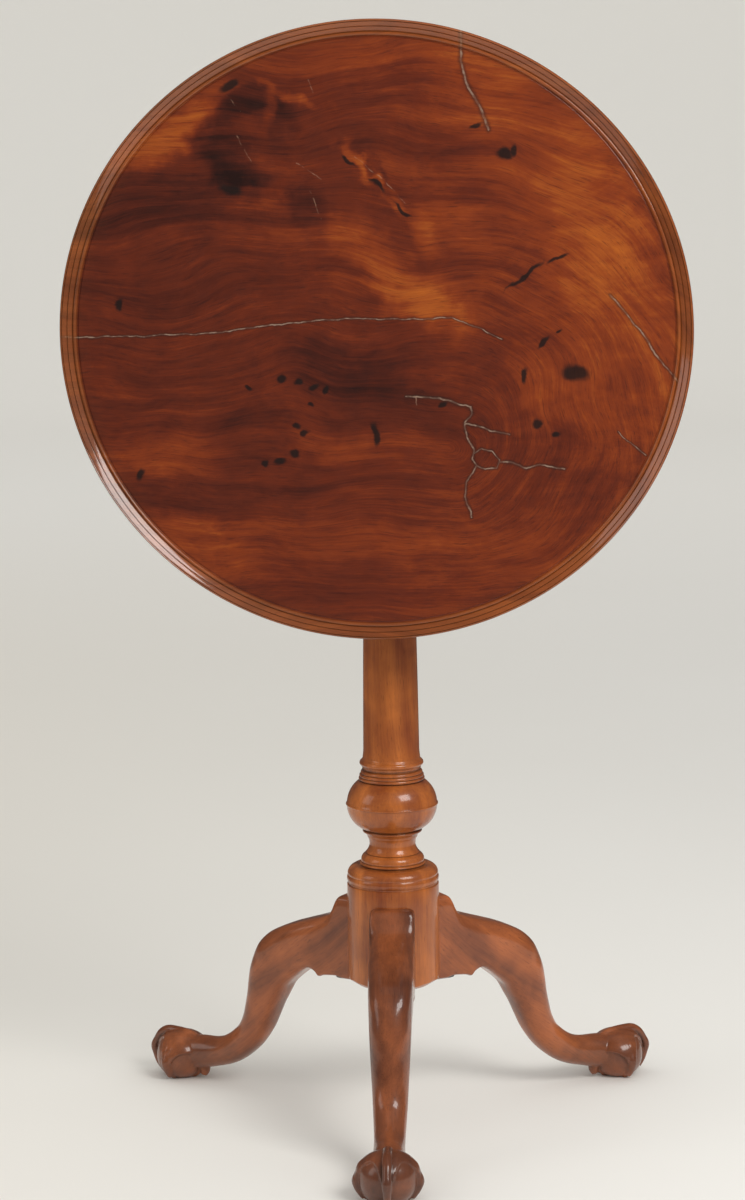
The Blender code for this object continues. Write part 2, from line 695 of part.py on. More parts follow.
def pillar():
    made = turned("pillar", pillar_profile(), PILLAR_STEPS)
    place(made, "pillar", pillar_axis, finish=PILLAR_WOOD)
    for name, degrees in LEG_ANGLES.items():
        socket = dovetail(f"{name}_socket", GAP, HUB_BOTTOM - 0.005, TENON_TOP + GAP)
        place(socket, f"{name}_socket", pillar_axis, rotation=(0.0, 0.0, math.radians(degrees)))
        boolean(made, socket)
    slot = block(
        "key_slot",
        (-SHAFT_RADIUS * 2, -KEY_THICKNESS / 2 - GAP, COLLAR_TOP - 0.0020),
        (SHAFT_RADIUS * 2, KEY_THICKNESS / 2 + GAP, COLLAR_TOP + KEY_DEEP_END + 2 * GAP),
    )
    boolean(made, place(slot, "key_slot", pillar_axis))
    inner_nail = NAIL_PLACES[0]
    boolean(made, place(nail_holes("pillar_nail_holes", inner_nail, LEG_ANGLES.values()), "pillar_nail_holes",
                        pillar_axis))
    return smooth(made, 30.0)


# Legs and feet -----------------------------------------------------------------------------------------------------
# Points of a leg's upper and lower edges, as distance from the pillar's axis and height: each pair is one section.
LEG_SECTIONS = [
    ((0.0400, 0.2160), (0.0400, 0.1330), 0.0190, 10),
    ((0.0515, 0.2152), (0.0515, 0.1330), 0.0190, 10),
    ((0.0555, 0.2112), (0.0550, 0.1330), 0.0190, 10),
    ((0.0592, 0.2030), (0.0585, 0.1330), 0.0190, 10),
    ((0.0640, 0.1962), (0.0630, 0.1330), 0.0190, 9),
    ((0.0740, 0.1920), (0.0710, 0.1326), 0.0190, 8),
    ((0.0840, 0.1885), (0.0775, 0.1310), 0.0190, 7),
    ((0.0940, 0.1852), (0.0835, 0.1355), 0.0190, 6),
    ((0.1040, 0.1820), (0.0890, 0.1370), 0.0189, 5.5),
    ((0.1160, 0.1780), (0.0945, 0.1355), 0.0188, 5),
    ((0.1280, 0.1730), (0.1005, 0.1315), 0.0186, 4.5),
    ((0.1400, 0.1665), (0.1060, 0.1270), 0.0183, 4),
    ((0.1505, 0.1570), (0.1115, 0.1225), 0.0179, 3.6),
    ((0.1588, 0.1450), (0.1165, 0.1180), 0.0175, 3.3),
    ((0.1646, 0.1298), (0.1214, 0.1125), 0.0171, 3),
    ((0.1675, 0.1155), (0.1270, 0.1020), 0.0165, 2.8),
    ((0.1695, 0.1021), (0.1333, 0.0905), 0.0158, 2.6),
    ((0.1722, 0.0892), (0.1390, 0.0776), 0.0150, 2.4),
    ((0.1755, 0.0774), (0.1459, 0.0630), 0.0142, 2.3),
    ((0.1809, 0.0662), (0.1571, 0.0468), 0.0132, 2.2),
    ((0.1878, 0.0590), (0.1682, 0.0360), 0.0124, 2.2),
    ((0.1955, 0.0530), (0.1805, 0.0270), 0.0117, 2.2),
    ((0.2043, 0.0483), (0.1937, 0.0207), 0.0110, 2.2),
    ((0.2150, 0.0457), (0.2090, 0.0163), 0.0112, 2.2),
    ((0.2290, 0.0450), (0.2260, 0.0120), 0.0130, 2.2),
    ((0.2400, 0.0440), (0.2390, 0.0110), 0.0150, 2.2),
]
SECTION_POINTS = 16
# A talon's line over the ball, as share of its reach outwards and height, and its half width at each point.
TALON_LINE = [(0.10, 0.0400), (0.45, 0.0455), (0.78, 0.0430), (0.97, 0.0320), (1.02, 0.0190), (0.94, 0.0075)]
TALON_WIDTHS = [0.0050, 0.0056, 0.0060, 0.0056, 0.0050, 0.0030]
TALON_ANGLES = {0.0: 0.0330, 74.0: 0.0305, -74.0: 0.0305}   # direction of each front talon and its reach
REAR_TALON = [(-0.030, 0.0190), (-0.0330, 0.0120), (-0.0320, 0.0050)]
REAR_WIDTHS = [0.0075, 0.0065, 0.0050]


def superellipse(count, power):
    """Points round a unit superellipse: a power of 2 is a circle, and higher powers are squarer."""
    points = []
    for i in range(count):
        turn = 2 * math.pi * (i + 0.5) / count
        across, up = math.cos(turn), math.sin(turn)
        size = (abs(across) ** power + abs(up) ** power) ** (-1 / power)
        points.append((across * size, up * size))
    return points


def leg_shaft(name):
    rings = []
    for upper, lower, half_thickness, power in LEG_SECTIONS:
        upper = Vector((upper[0], 0.0, upper[1]))
        lower = Vector((lower[0], 0.0, lower[1]))
        middle = (upper + lower) / 2
        rise = (upper - lower) / 2
        ring = []
        for across, up in superellipse(SECTION_POINTS, power):
            ring.append(middle + rise * up + Vector((0.0, across * half_thickness, 0.0)))
        rings.append(ring)
    return loft(name, rings)


def talon(name, line, widths, direction):
    """A tapering claw whose line lies in an upright plane through the ball's middle."""
    outward = Vector((math.cos(direction), math.sin(direction), 0.0))
    aside = Vector((-outward.y, outward.x, 0.0))
    spine = [outward * reach + Vector((0.0, 0.0, height)) for reach, height in line]
    rings = []
    for i, point in enumerate(spine):
        along = (spine[min(i + 1, len(spine) - 1)] - spine[max(i - 1, 0)]).normalized()
        normal = along.cross(aside)
        ring = []
        for k in range(8):
            turn = 2 * math.pi * k / 8
            ring.append(point + (aside * math.cos(turn) + normal * math.sin(turn)) * widths[i])
        rings.append(ring)
    return loft(name, rings)


def foot_ball(name):
    shape = bmesh.new()
    bmesh.ops.create_uvsphere(shape, u_segments=16, v_segments=10, radius=1.0)
    bmesh.ops.scale(shape, vec=(BALL_RADIUS, BALL_RADIUS, BALL_HALF_HEIGHT), verts=shape.verts)
    bmesh.ops.translate(shape, vec=(0.0, 0.0, BALL_CENTRE_HEIGHT), verts=shape.verts)
    cut = bmesh.ops.bisect_plane(
        shape,
        geom=shape.verts[:] + shape.edges[:] + shape.faces[:],
        plane_co=(0.0, 0.0, 0.0),
        plane_no=(0.0, 0.0, -1.0),
        clear_outer=True,
    )
    rim = [edge for edge in cut["geom_cut"] if isinstance(edge, bmesh.types.BMEdge)]
    bmesh.ops.contextual_create(shape, geom=rim)
    bmesh.ops.recalc_face_normals(shape, faces=shape.faces)
    return object_from(shape, name)


def leg(name, degrees):
    made = leg_shaft(name)
    turn = math.radians(degrees)
    spin = (0.0, 0.0, turn)
    foot_at = Matrix.Rotation(turn, 3, "Z") @ Vector((FOOT_DISTANCE, 0.0, 0.0))
    place(made, name, pillar_axis, rotation=spin, finish=LEG_WOOD)
    hub = turned(f"{name}_cope", [(HUB_RADIUS + GAP, 0.23), (HUB_RADIUS + GAP, 0.12)], 2 * PILLAR_STEPS)
    boolean(made, place(hub, f"{name}_cope", pillar_axis))
    tenon = dovetail(f"{name}_tenon", 0.0, HUB_BOTTOM + GAP, TENON_TOP)
    boolean(made, place(tenon, f"{name}_tenon", pillar_axis, rotation=spin), "UNION")
    ball = foot_ball(f"{name}_ball")
    boolean(made, place(ball, f"{name}_ball", pillar_axis, foot_at, spin), "UNION")
    for index, (aside, reach) in enumerate(TALON_ANGLES.items()):
        line = [(share * reach, height) for share, height in TALON_LINE]
        claw = talon(f"{name}_talon_{index}", line, TALON_WIDTHS, math.radians(aside))
        boolean(made, place(claw, f"{name}_talon_{index}", pillar_axis, foot_at, spin), "UNION")
    rear = talon(f"{name}_rear_talon", REAR_TALON, REAR_WIDTHS, 0.0)
    boolean(made, place(rear, f"{name}_rear_talon", pillar_axis, foot_at, spin), "UNION")
    outer_nail = NAIL_PLACES[1]
    holes = nail_holes(f"{name}_nail_hole", outer_nail, [degrees])
    boolean(made, place(holes, f"{name}_nail_hole", pillar_axis))
    return smooth(made, 40.0)


# The iron brace under the pillar ------------------------------------------------------------------------------------
NAIL = (0.0030, 0.0010, 0.0016, 0.0170)


def nail_places(distances, angles):
    for degrees in angles:
        for distance in distances:
            turn = math.radians(degrees)
            yield (distance * math.cos(turn), distance * math.sin(turn), HUB_BOTTOM - GAP - BRACE_THICKNESS)


def nail_holes(name, distance, angles):
    holes = [fastener_hole(NAIL, at, POINT_UP) for at in nail_places([distance], angles)]
    return joined(name, holes)


def iron_brace():
    """A flat three-armed strap nailed under the hub and the legs, against the legs spreading."""
    arm_half = 0.0070
    end_radius = 0.0085
    crotch = 0.0150
    end_points = 6
    points = []
    for degrees in sorted(LEG_ANGLES.values()):
        turn = math.radians(degrees)
        outward = Vector((math.cos(turn), math.sin(turn)))
        aside = Vector((-outward.y, outward.x))
        points.append(outward * crotch * 1.1 - aside * arm_half)
        centre = BRACE_REACH - end_radius
        for i in range(end_points + 1):
            sweep = -math.pi / 2 + math.pi * i / end_points
            points.append(outward * (centre + end_radius * math.cos(sweep)) + aside * end_radius * math.sin(sweep))
        points.append(outward * crotch * 1.1 + aside * arm_half)
    low = HUB_BOTTOM - GAP - BRACE_THICKNESS
    lift = Matrix.Translation((0.0, 0.0, low + BRACE_THICKNESS / 2))
    made = outline("iron_brace", points, BRACE_THICKNESS / 2, lift)
    place(made, "iron_brace", pillar_axis, finish=IRON)
    holes = [fastener_hole(NAIL, at, POINT_UP) for at in nail_places(NAIL_PLACES, LEG_ANGLES.values())]
    boolean(made, place(joined("brace_nail_holes", holes), "brace_nail_holes", pillar_axis))
    return made


# Assembly ----------------------------------------------------------------------------------------------------------
table_top()
cleat("cleat_left", -1)
cleat("cleat_right", 1)
cleat_screw_count = 0
for screw_side in (-1, 1):
    for screw_across in CLEAT_SCREW_PLACES:
        cleat_screw_count += 1
        screw_at = cleat_screw_location(screw_side, screw_across)
        fastener(f"cleat_screw_{cleat_screw_count}", CLEAT_SCREW, top_tilt, screw_at, POINT_UP)
catch_case()
catch_bolt()
catch_knob()
catch_spring()
for number, screw_at in enumerate(catch_screw_locations(), 1):
    fastener(f"catch_screw_{number}", CATCH_SCREW, top_tilt, screw_at, POINT_UP)
upper_board()
keeper_plate()
for number, screw_x in enumerate((-KEEPER_SCREW_X, KEEPER_SCREW_X), 1):
    fastener(f"keeper_screw_{number}", KEEPER_SCREW, cage_turn, (screw_x, BOARD_BACK, 0.0), POINT_FORWARD)
lower_board()
for column_name, (column_across, column_along) in COLUMN_PLACES.items():
    colonnette(column_name, column_across, column_along)
turning_collar()
wedge_key()
pillar()
for leg_name, leg_degrees in LEG_ANGLES.items():
    leg(leg_name, leg_degrees)
iron_brace()
for number, nail_at in enumerate(nail_places(NAIL_PLACES, LEG_ANGLES.values()), 1):
    fastener(f"brace_nail_{number}", NAIL, pillar_axis, nail_at, POINT_UP)
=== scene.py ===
"""Looks of the tilt-top stand: polished figured top, turned pillar, carved legs, and plain work behind.

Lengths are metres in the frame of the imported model: +Z is up, the floor is z = 0, and the tipped-up top
looks along -Y.
"""

import json
import math

import bmesh
import bpy
from mathutils import Matrix, Vector

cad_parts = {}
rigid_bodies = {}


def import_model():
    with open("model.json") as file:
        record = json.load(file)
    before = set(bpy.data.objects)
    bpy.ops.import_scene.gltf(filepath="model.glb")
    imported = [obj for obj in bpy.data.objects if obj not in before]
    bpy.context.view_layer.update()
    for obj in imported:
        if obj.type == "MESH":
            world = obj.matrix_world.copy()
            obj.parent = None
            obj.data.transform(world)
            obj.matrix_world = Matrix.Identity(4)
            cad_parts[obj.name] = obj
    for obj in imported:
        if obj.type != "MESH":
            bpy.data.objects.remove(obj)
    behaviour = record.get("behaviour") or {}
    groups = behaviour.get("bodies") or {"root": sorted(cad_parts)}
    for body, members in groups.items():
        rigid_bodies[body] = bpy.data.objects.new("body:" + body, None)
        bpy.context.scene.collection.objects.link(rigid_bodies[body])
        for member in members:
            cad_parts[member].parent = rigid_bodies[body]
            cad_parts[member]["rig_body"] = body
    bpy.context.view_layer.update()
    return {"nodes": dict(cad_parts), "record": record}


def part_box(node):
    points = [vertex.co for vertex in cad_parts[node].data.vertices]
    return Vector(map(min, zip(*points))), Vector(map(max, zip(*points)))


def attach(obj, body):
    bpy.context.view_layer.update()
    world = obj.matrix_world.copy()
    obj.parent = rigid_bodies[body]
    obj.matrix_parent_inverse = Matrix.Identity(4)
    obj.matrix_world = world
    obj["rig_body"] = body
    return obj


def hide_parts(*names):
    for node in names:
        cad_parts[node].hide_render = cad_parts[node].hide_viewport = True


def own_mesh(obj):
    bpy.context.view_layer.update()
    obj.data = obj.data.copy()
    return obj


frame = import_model()
nodes = frame["nodes"]

# Sizes from the frame -----------------------------------------------------------------------------
top_low, top_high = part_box("table_top")
TOP_CENTRE = (top_low + top_high) / 2
TOP_HALF_LENGTH = (top_high.x - top_low.x) / 2
TOP_HALF_WIDTH = (top_high.z - top_low.z) / 2
TOP_THICKNESS = top_high.y - top_low.y
DISH_DEPTH = 0.0065

pillar_low, pillar_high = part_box("pillar")
AXIS = Vector((0.0, (pillar_low.y + pillar_high.y) / 2, 0.0))
HUB_BOTTOM = pillar_low.z
HUB_RADIUS = 0.0445
PIN_TOP = pillar_high.z
LOWER_BOARD_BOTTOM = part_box("birdcage_lower_board")[0].z
UPPER_BOARD_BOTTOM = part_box("colonnette_front_left")[1].z - 0.0190

FEET = {
    mount["name"].replace("foot", "leg"): Vector(mount["pos_m"]) - AXIS
    for mount in frame["record"]["mounts"]
    if mount["name"].startswith("foot")
}
FOOT_DISTANCE = 0.2557


# Meshes -------------------------------------------------------------------------------------------
def rounded(marks, steps=8):
    """An outline from marks (across, up, bulge).

    Bulge is how far the arc from the mark before stands out from its chord.
    """
    points = [Vector(marks[0][:2])]
    for before, mark in zip(marks, marks[1:]):
        start, end = Vector(before[:2]), Vector(mark[:2])
        bulge = mark[2] if len(mark) > 2 else 0.0
        if bulge:
            chord = end - start
            aside = Vector((-chord.y, chord.x)).normalized()
            radius = (chord.length_squared / 4 + bulge * bulge) / (2 * abs(bulge))
            centre = (start + end) / 2 + aside * (bulge - math.copysign(radius, bulge))
            sweep = -math.copysign(2 * math.atan2(chord.length / 2, radius - abs(bulge)), bulge)
            for step in range(1, steps):
                points.append(centre + Matrix.Rotation(sweep * step / steps, 2) @ (start - centre))
        points.append(end)
    return points


def smooth_line(points, count):
    """Points spaced along a smooth curve through the given points, which may be of any length."""
    rows = [Vector(point) for point in points]
    rows = [2 * rows[0] - rows[1]] + rows + [2 * rows[-1] - rows[-2]]
    spans = len(rows) - 3
    line = []
    for index in range(count):
        place = spans * index / (count - 1)
        span = min(int(place), spans - 1)
        t = place - span
        a, b, c, d = rows[span:span + 4]
        line.append((2 * b + (c - a) * t + (2 * a - 5 * b + 4 * c - d) * t ** 2
                     + (3 * b - a - 3 * c + d) * t ** 3) / 2)
    return line


def lathe(outline, steps):
    """A mesh turned about the Z axis from an outline of (radius, height)."""
    shape = bmesh.new()
    row = [shape.verts.new((point[0], 0.0, point[1])) for point in outline]
    edges = [shape.edges.new(pair) for pair in zip(row, row[1:])]
    bmesh.ops.spin(
        shape, geom=row + edges, cent=(0, 0, 0), axis=(0, 0, 1), angle=2 * math.pi, steps=steps,
        use_merge=True,
    )
    bmesh.ops.remove_doubles(shape, verts=shape.verts, dist=1e-6)
    return shape


def swept(rings):
    """A closed tube through circles, each with its matrix, squareness above and below, and point count."""
    shape = bmesh.new()
    loops = []
    for matrix, above, below, count in rings:
        made = bmesh.ops.create_circle(shape, segments=count, radius=1.0)["verts"]
        for vert in made:
            power = above if vert.co.y > 0 else below
            vert.co /= (abs(vert.co.x) ** power + abs(vert.co.y) ** power) ** (1 / power)
            vert.co = matrix @ vert.co
        ring = set(made)
        loops.append([edge for edge in shape.edges if edge.verts[0] in ring])
    for first, second in zip(loops, loops[1:]):
        bmesh.ops.bridge_loops(shape, edges=first + second)
    bmesh.ops.contextual_create(shape, geom=loops[0])
    bmesh.ops.contextual_create(shape, geom=loops[-1])
    bmesh.ops.recalc_face_normals(shape, faces=shape.faces)
    return shape


def piece(name, shape, finish, body, replaced=(), crease=35.0):
    """Makes the finished object of a bmesh, on its body and in its slot, in place of its CAD nodes."""
    bmesh.ops.recalc_face_normals(shape, faces=shape.faces)
    mesh = bpy.data.meshes.new(name)
    shape.to_mesh(mesh)
    shape.free()
    mesh.shade_smooth()
    mesh.set_sharp_from_angle(angle=math.radians(crease))
    mesh.materials.append(finish)
    made = bpy.data.objects.new(name, mesh)
    bpy.context.scene.collection.objects.link(made)
    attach(made, body)
    if replaced:
        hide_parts(*replaced)
    return made


def fused(shape, voxel, soften):
    """One skin round a bmesh of overlapping closed shapes, softened as a rasp and scraper leave it."""
    mesh = bpy.data.meshes.new("carving")
    shape.to_mesh(mesh)
    shape.free()
    block = bpy.data.objects.new("carving", mesh)
    bpy.context.scene.collection.objects.link(block)
    remesh = block.modifiers.new("skin", "REMESH")
    remesh.mode = "VOXEL"
    remesh.voxel_size = voxel
    skin = bmesh.new()
    skin.from_object(block, bpy.context.evaluated_depsgraph_get())
    bpy.data.objects.remove(block)
    for _ in range(soften):
        bmesh.ops.smooth_vert(
            skin, verts=skin.verts, factor=0.5, use_axis_x=True, use_axis_y=True, use_axis_z=True,
        )
    return skin


def merged(into, extra):
    """Adds one bmesh to another."""
    mesh = bpy.data.meshes.new("extra")
    extra.to_mesh(mesh)
    extra.free()
    into.from_mesh(mesh)
    bpy.data.meshes.remove(mesh)


# Node trees ---------------------------------------------------------------------------------------
class Tree:
    """A node tree being built. Inputs go by socket name or number, and are values or sockets to link."""

    def __init__(self, tree):
        self.tree = tree

    def add(self, kind, inputs=None, **settings):
        node = self.tree.nodes.new(kind)
        for name, value in settings.items():
            setattr(node, name, value)
        for name, value in (inputs or {}).items():
            if isinstance(value, bpy.types.NodeSocket):
                self.tree.links.new(value, node.inputs[name])
            else:
                node.inputs[name].default_value = value
        return node

    def math(self, operation, a, b=0.0, c=0.0):
        return self.add("ShaderNodeMath", {0: a, 1: b, 2: c}, operation=operation).outputs[0]

    def vector(self, operation, a, b=(0.0, 0.0, 0.0)):
        node = self.add("ShaderNodeVectorMath", {0: a, 1: b}, operation=operation)
        return node.outputs["Value" if operation in ("LENGTH", "DOT_PRODUCT") else "Vector"]

    def stretch(self, vector, scale):
        return self.vector("MULTIPLY", vector, scale)

    def noise(self, vector, scale, detail=2.0, roughness=0.5, distortion=0.0):
        inputs = {"Vector": vector, "Scale": scale, "Detail": detail, "Roughness": roughness}
        inputs["Distortion"] = distortion
        return self.add("ShaderNodeTexNoise", inputs).outputs["Fac"]

    def drift(self, vector, scale, detail, roughness=0.5):
        """A wandering of places, about zero on every axis."""
        inputs = {"Vector": vector, "Scale": scale, "Detail": detail, "Roughness": roughness}
        noise = self.add("ShaderNodeTexNoise", inputs).outputs["Color"]
        return self.vector("SUBTRACT", noise, (0.5, 0.5, 0.5))

    def span(self, value, low, high, to_low=0.0, to_high=1.0, smooth=True):
        """Takes value from the range low to high to another range, and holds it there."""
        inputs = {"Value": value, "From Min": low, "From Max": high, "To Min": to_low, "To Max": to_high}
        kind = "SMOOTHSTEP" if smooth else "LINEAR"
        node = self.add("ShaderNodeMapRange", inputs, interpolation_type=kind, clamp=not smooth)
        return node.outputs["Result"]

    def blend(self, share, a, b):
        node = self.add("ShaderNodeMix", {0: share, 6: a, 7: b}, data_type="RGBA")
        return node.outputs[2]

    def tint(self, colour, mask, strength, tint):
        """Lays a tint over a colour where the mask is, as strongly as strength says."""
        return self.blend(self.math("MULTIPLY", mask, strength), colour, (*tint, 1.0))

    def ramp(self, value, stops):
        node = self.add("ShaderNodeValToRGB", {"Fac": value})
        elements = node.color_ramp.elements
        while len(elements) < len(stops):
            elements.new(0.5)
        for element, (place, colour) in zip(elements, stops):
            element.position = place
            element.color = (*colour, 1.0)
        return node.outputs["Color"]

    def use(self, name, inputs):
        """Places a node group with its own values, and gives its outputs."""
        node = self.add("ShaderNodeGroup", None, node_tree=bpy.data.node_groups[name])
        for key, value in inputs.items():
            if isinstance(value, bpy.types.NodeSocket):
                self.tree.links.new(value, node.inputs[key])
            else:
                node.inputs[key].default_value = value
        return node.outputs


KINDS = {"vector": "NodeSocketVector", "value": "NodeSocketFloat", "colour": "NodeSocketColor"}


def new_group(name, inputs, outputs):
    """An empty node group, its tree, and its input sockets by name."""
    made = bpy.data.node_groups.new(name, "ShaderNodeTree")
    for label, (kind, value) in inputs.items():
        socket = made.interface.new_socket(name=label, in_out="INPUT", socket_type=KINDS[kind])
        socket.default_value = value
    for label, kind in outputs.items():
        made.interface.new_socket(name=label, in_out="OUTPUT", socket_type=KINDS[kind])
    tree = Tree(made)
    return tree, tree.add("NodeGroupInput").outputs


def close_group(tree, outputs):
    tree.add("NodeGroupOutput", outputs)


def soft_spot():
    """An oval mark on the face of the top: 1 inside, falling to 0 over its softness."""
    tree, given = new_group(
        "soft_spot",
        {"Vector": ("vector", (0, 0, 0)), "Centre": ("vector", (0, 0, 0)), "Turn": ("value", 0.0),
         "Reach": ("vector", (0.1, 1.0, 0.1)), "Softness": ("value", 1.0)},
        {"Mask": "value"},
    )
    local = tree.vector("SUBTRACT", given["Vector"], given["Centre"])
    turn = {"Vector": local, "Angle": given["Turn"]}
    turned = tree.add("ShaderNodeVectorRotate", turn, rotation_type="Y_AXIS").outputs[0]
    apart = tree.vector("LENGTH", tree.vector("DIVIDE", turned, given["Reach"]))
    inner = tree.math("SUBTRACT", 1.0, given["Softness"])
    outer = tree.math("ADD", 1.0, given["Softness"])
    close_group(tree, {"Mask": tree.span(apart, inner, outer, 1.0, 0.0)})


def crack_line():
    """One straight run of a crack: 1 on the line from Start to End, 0 beyond Width from it."""
    tree, given = new_group(
        "crack_line",
        {"Vector": ("vector", (0, 0, 0)), "Start": ("vector", (0, 0, 0)), "End": ("vector", (0, 0, 0)),
         "Width": ("value", 0.001)},
        {"Mask": "value", "Shade": "value"},
    )
    run = tree.vector("SUBTRACT", given["End"], given["Start"])
    reach = tree.vector("SUBTRACT", given["Vector"], given["Start"])
    along, whole = tree.vector("DOT_PRODUCT", reach, run), tree.vector("DOT_PRODUCT", run, run)
    share = tree.math("DIVIDE", along, whole)
    share = tree.math("MINIMUM", tree.math("MAXIMUM", share, 0.0), 1.0)
    scaled = tree.add("ShaderNodeVectorMath", {0: run, "Scale": share}, operation="SCALE")
    apart = tree.vector("LENGTH", tree.vector("SUBTRACT", reach, scaled.outputs["Vector"]))
    away = tree.math("DIVIDE", apart, given["Width"])
    # Shade is a wider band round the line, for painted shadow beside a crack.
    close_group(tree, {
        "Mask": tree.span(away, 0.35, 0.75, 1.0, 0.0),
        "Shade": tree.span(away, 0.5, 2.6, 1.0, 0.0),
    })


def wood_grain():
    """Streaks, bands and pores of mahogany whose grain runs along the Z axis of Vector."""
    tree, given = new_group(
        "wood_grain",
        {"Vector": ("vector", (0, 0, 0)), "Band Size": ("value", 0.016), "Waviness": ("value", 0.006)},
        {"Bands": "value", "Fibres": "value", "Pores": "value"},
    )
    drift = tree.noise(tree.stretch(given["Vector"], (9.0, 9.0, 4.5)), 1.0, 2.0)
    shift = tree.math("SUBTRACT", drift, 0.5)
    shift = tree.math("MULTIPLY", shift, tree.math("MULTIPLY", given["Waviness"], 4.0))
    aside = tree.add("ShaderNodeCombineXYZ", {0: shift, 1: shift}).outputs[0]
    moved = tree.vector("ADD", given["Vector"], aside)
    per_band = tree.math("DIVIDE", 1.0, given["Band Size"])
    across = tree.add("ShaderNodeVectorMath", {0: moved, "Scale": per_band}, operation="SCALE")
    bands = tree.noise(tree.stretch(across.outputs["Vector"], (1.0, 1.0, 0.07)), 1.0, 3.0, 0.55, 0.4)
    fibres = tree.noise(tree.stretch(moved, (620.0, 620.0, 16.0)), 1.0, 3.0, 0.6)
    pores = tree.noise(tree.stretch(moved, (1500.0, 1500.0, 75.0)), 1.0, 1.0)
    close_group(tree, {"Bands": bands, "Fibres": fibres, "Pores": tree.span(pores, 0.62, 0.72)})


def handled_and_shaded_surface():
    """Hollows found by ambient occlusion, for painted shade with soiling, where cloths have rubbed, and the
    unevenness that old polish keeps.
    """
    tree, given = new_group(
        "handled_and_shaded_surface",
        {"Vector": ("vector", (0, 0, 0)), "Crevice Size": ("value", 0.004)},
        {"Crevices": "value", "Edges": "value", "Unevenness": "value", "Smudges": "value"},
    )
    near = {"Distance": given["Crevice Size"]}
    # Crevices is ambient occlusion: a mask for painted shade in hollows.
    hidden = tree.add("ShaderNodeAmbientOcclusion", near, samples=6, only_local=True)
    crevices = tree.span(hidden.outputs["AO"], 0.35, 0.95, 1.0, 0.0)
    point = tree.add("ShaderNodeNewGeometry").outputs["Pointiness"]
    edges = tree.span(point, 0.52, 0.60)
    uneven = tree.noise(given["Vector"], 22.0, 3.0, 0.5, 0.3)
    smudges = tree.noise(given["Vector"], 85.0, 4.0, 0.65)
    close_group(
        tree, {"Crevices": crevices, "Edges": edges, "Unevenness": uneven, "Smudges": smudges},
    )


for build in (soft_spot, crack_line, wood_grain, handled_and_shaded_surface):
    build()


def new_material(name, roughness, metallic=0.0, coat=0.0, coat_roughness=0.1, specular=0.5):
    """A material with one Principled shader: its tree, the shader and Object coordinates."""
    made = bpy.data.materials.new(name)
    made.use_nodes = True
    tree = Tree(made.node_tree)
    shader = made.node_tree.nodes["Principled BSDF"]
    shader.inputs["Roughness"].default_value = roughness
    shader.inputs["Metallic"].default_value = metallic
    shader.inputs["Coat Weight"].default_value = coat
    shader.inputs["Coat Roughness"].default_value = coat_roughness
    shader.inputs["Specular IOR Level"].default_value = specular
    return made, tree, shader, tree.add("ShaderNodeTexCoord").outputs["Object"]


def finish_shader(tree, shader, colour, roughness, height, depth):
    """Feeds the shader its colour, roughness and a bump of the given depth in metres."""
    bump = tree.add("ShaderNodeBump", {"Height": height, "Distance": depth, "Strength": 1.0})
    tree.tree.links.new(colour, shader.inputs["Base Color"])
    tree.tree.links.new(roughness, shader.inputs["Roughness"])
    tree.tree.links.new(bump.outputs["Normal"], shader.inputs["Normal"])


# Colour of the hollows: painted shade with soiling.
CREVICE_DIRT_AND_SHADE = (0.018, 0.007, 0.004)
DARKER_LOW_WOOD = (0.075, 0.030, 0.018)


def toned(colour, share):
    return tuple(channel * share for channel in colour)


def polished_mahogany(
    name, dark, light, turn=(0.0, 0.0, 0.0), band=0.016, waviness=0.006, dirt_and_shade=0.75, coat=0.75,
    crevice=0.0045,
):
    """Mahogany under old spirit varnish. Turn brings the grain's direction onto Z."""
    made, tree, shader, place = new_material(name, 0.40, coat=coat, coat_roughness=0.14, specular=0.25)
    centred = tree.vector("SUBTRACT", place, tuple(AXIS))
    along = tree.add("ShaderNodeMapping", {"Vector": centred, "Rotation": turn}).outputs[0]
    grain = tree.use("wood_grain", {"Vector": along, "Band Size": band, "Waviness": waviness})
    wear_and_shade = tree.use("handled_and_shaded_surface", {"Vector": place, "Crevice Size": crevice})
    tone = tree.math("MULTIPLY_ADD", grain["Fibres"], 0.30, tree.math("MULTIPLY", grain["Bands"], 0.95))
    tone = tree.math("MULTIPLY_ADD", wear_and_shade["Unevenness"], 0.80, tree.math("SUBTRACT", tone, 0.55))
    middle = tuple((a + b) / 2 * 0.92 for a, b in zip(dark, light))
    colour = tree.ramp(tone, [(0.22, dark), (0.50, middle), (0.80, light)])
    colour = tree.tint(colour, grain["Pores"], 0.45, toned(dark, 0.35))
    colour = tree.tint(colour, wear_and_shade["Edges"], 0.25, toned(light, 1.35))
    # Painted shade with soiling: hollows found by ambient occlusion are darkened.
    colour = tree.tint(colour, wear_and_shade["Crevices"], dirt_and_shade, CREVICE_DIRT_AND_SHADE)
    # Darker towards the floor, on the feet.
    height_up = tree.add("ShaderNodeSeparateXYZ", {0: place}).outputs["Z"]
    darker_low = tree.span(height_up, 0.062, 0.028, 0.0, 0.50)
    colour = tree.tint(colour, darker_low, tree.math("ADD", wear_and_shade["Smudges"], 0.35), DARKER_LOW_WOOD)
    roughness = tree.math("MULTIPLY_ADD", wear_and_shade["Smudges"], 0.22, 0.30)
    roughness = tree.math("MULTIPLY_ADD", wear_and_shade["Crevices"], 0.25, roughness)
    height = tree.math("MULTIPLY", grain["Fibres"], 0.05)
    height = tree.math("MULTIPLY_ADD", wear_and_shade["Unevenness"], 1.0, height)
    height = tree.math("MULTIPLY_ADD", grain["Pores"], -0.05, height)
    finish_shader(tree, shader, colour, roughness, height, 0.0009)
    return made


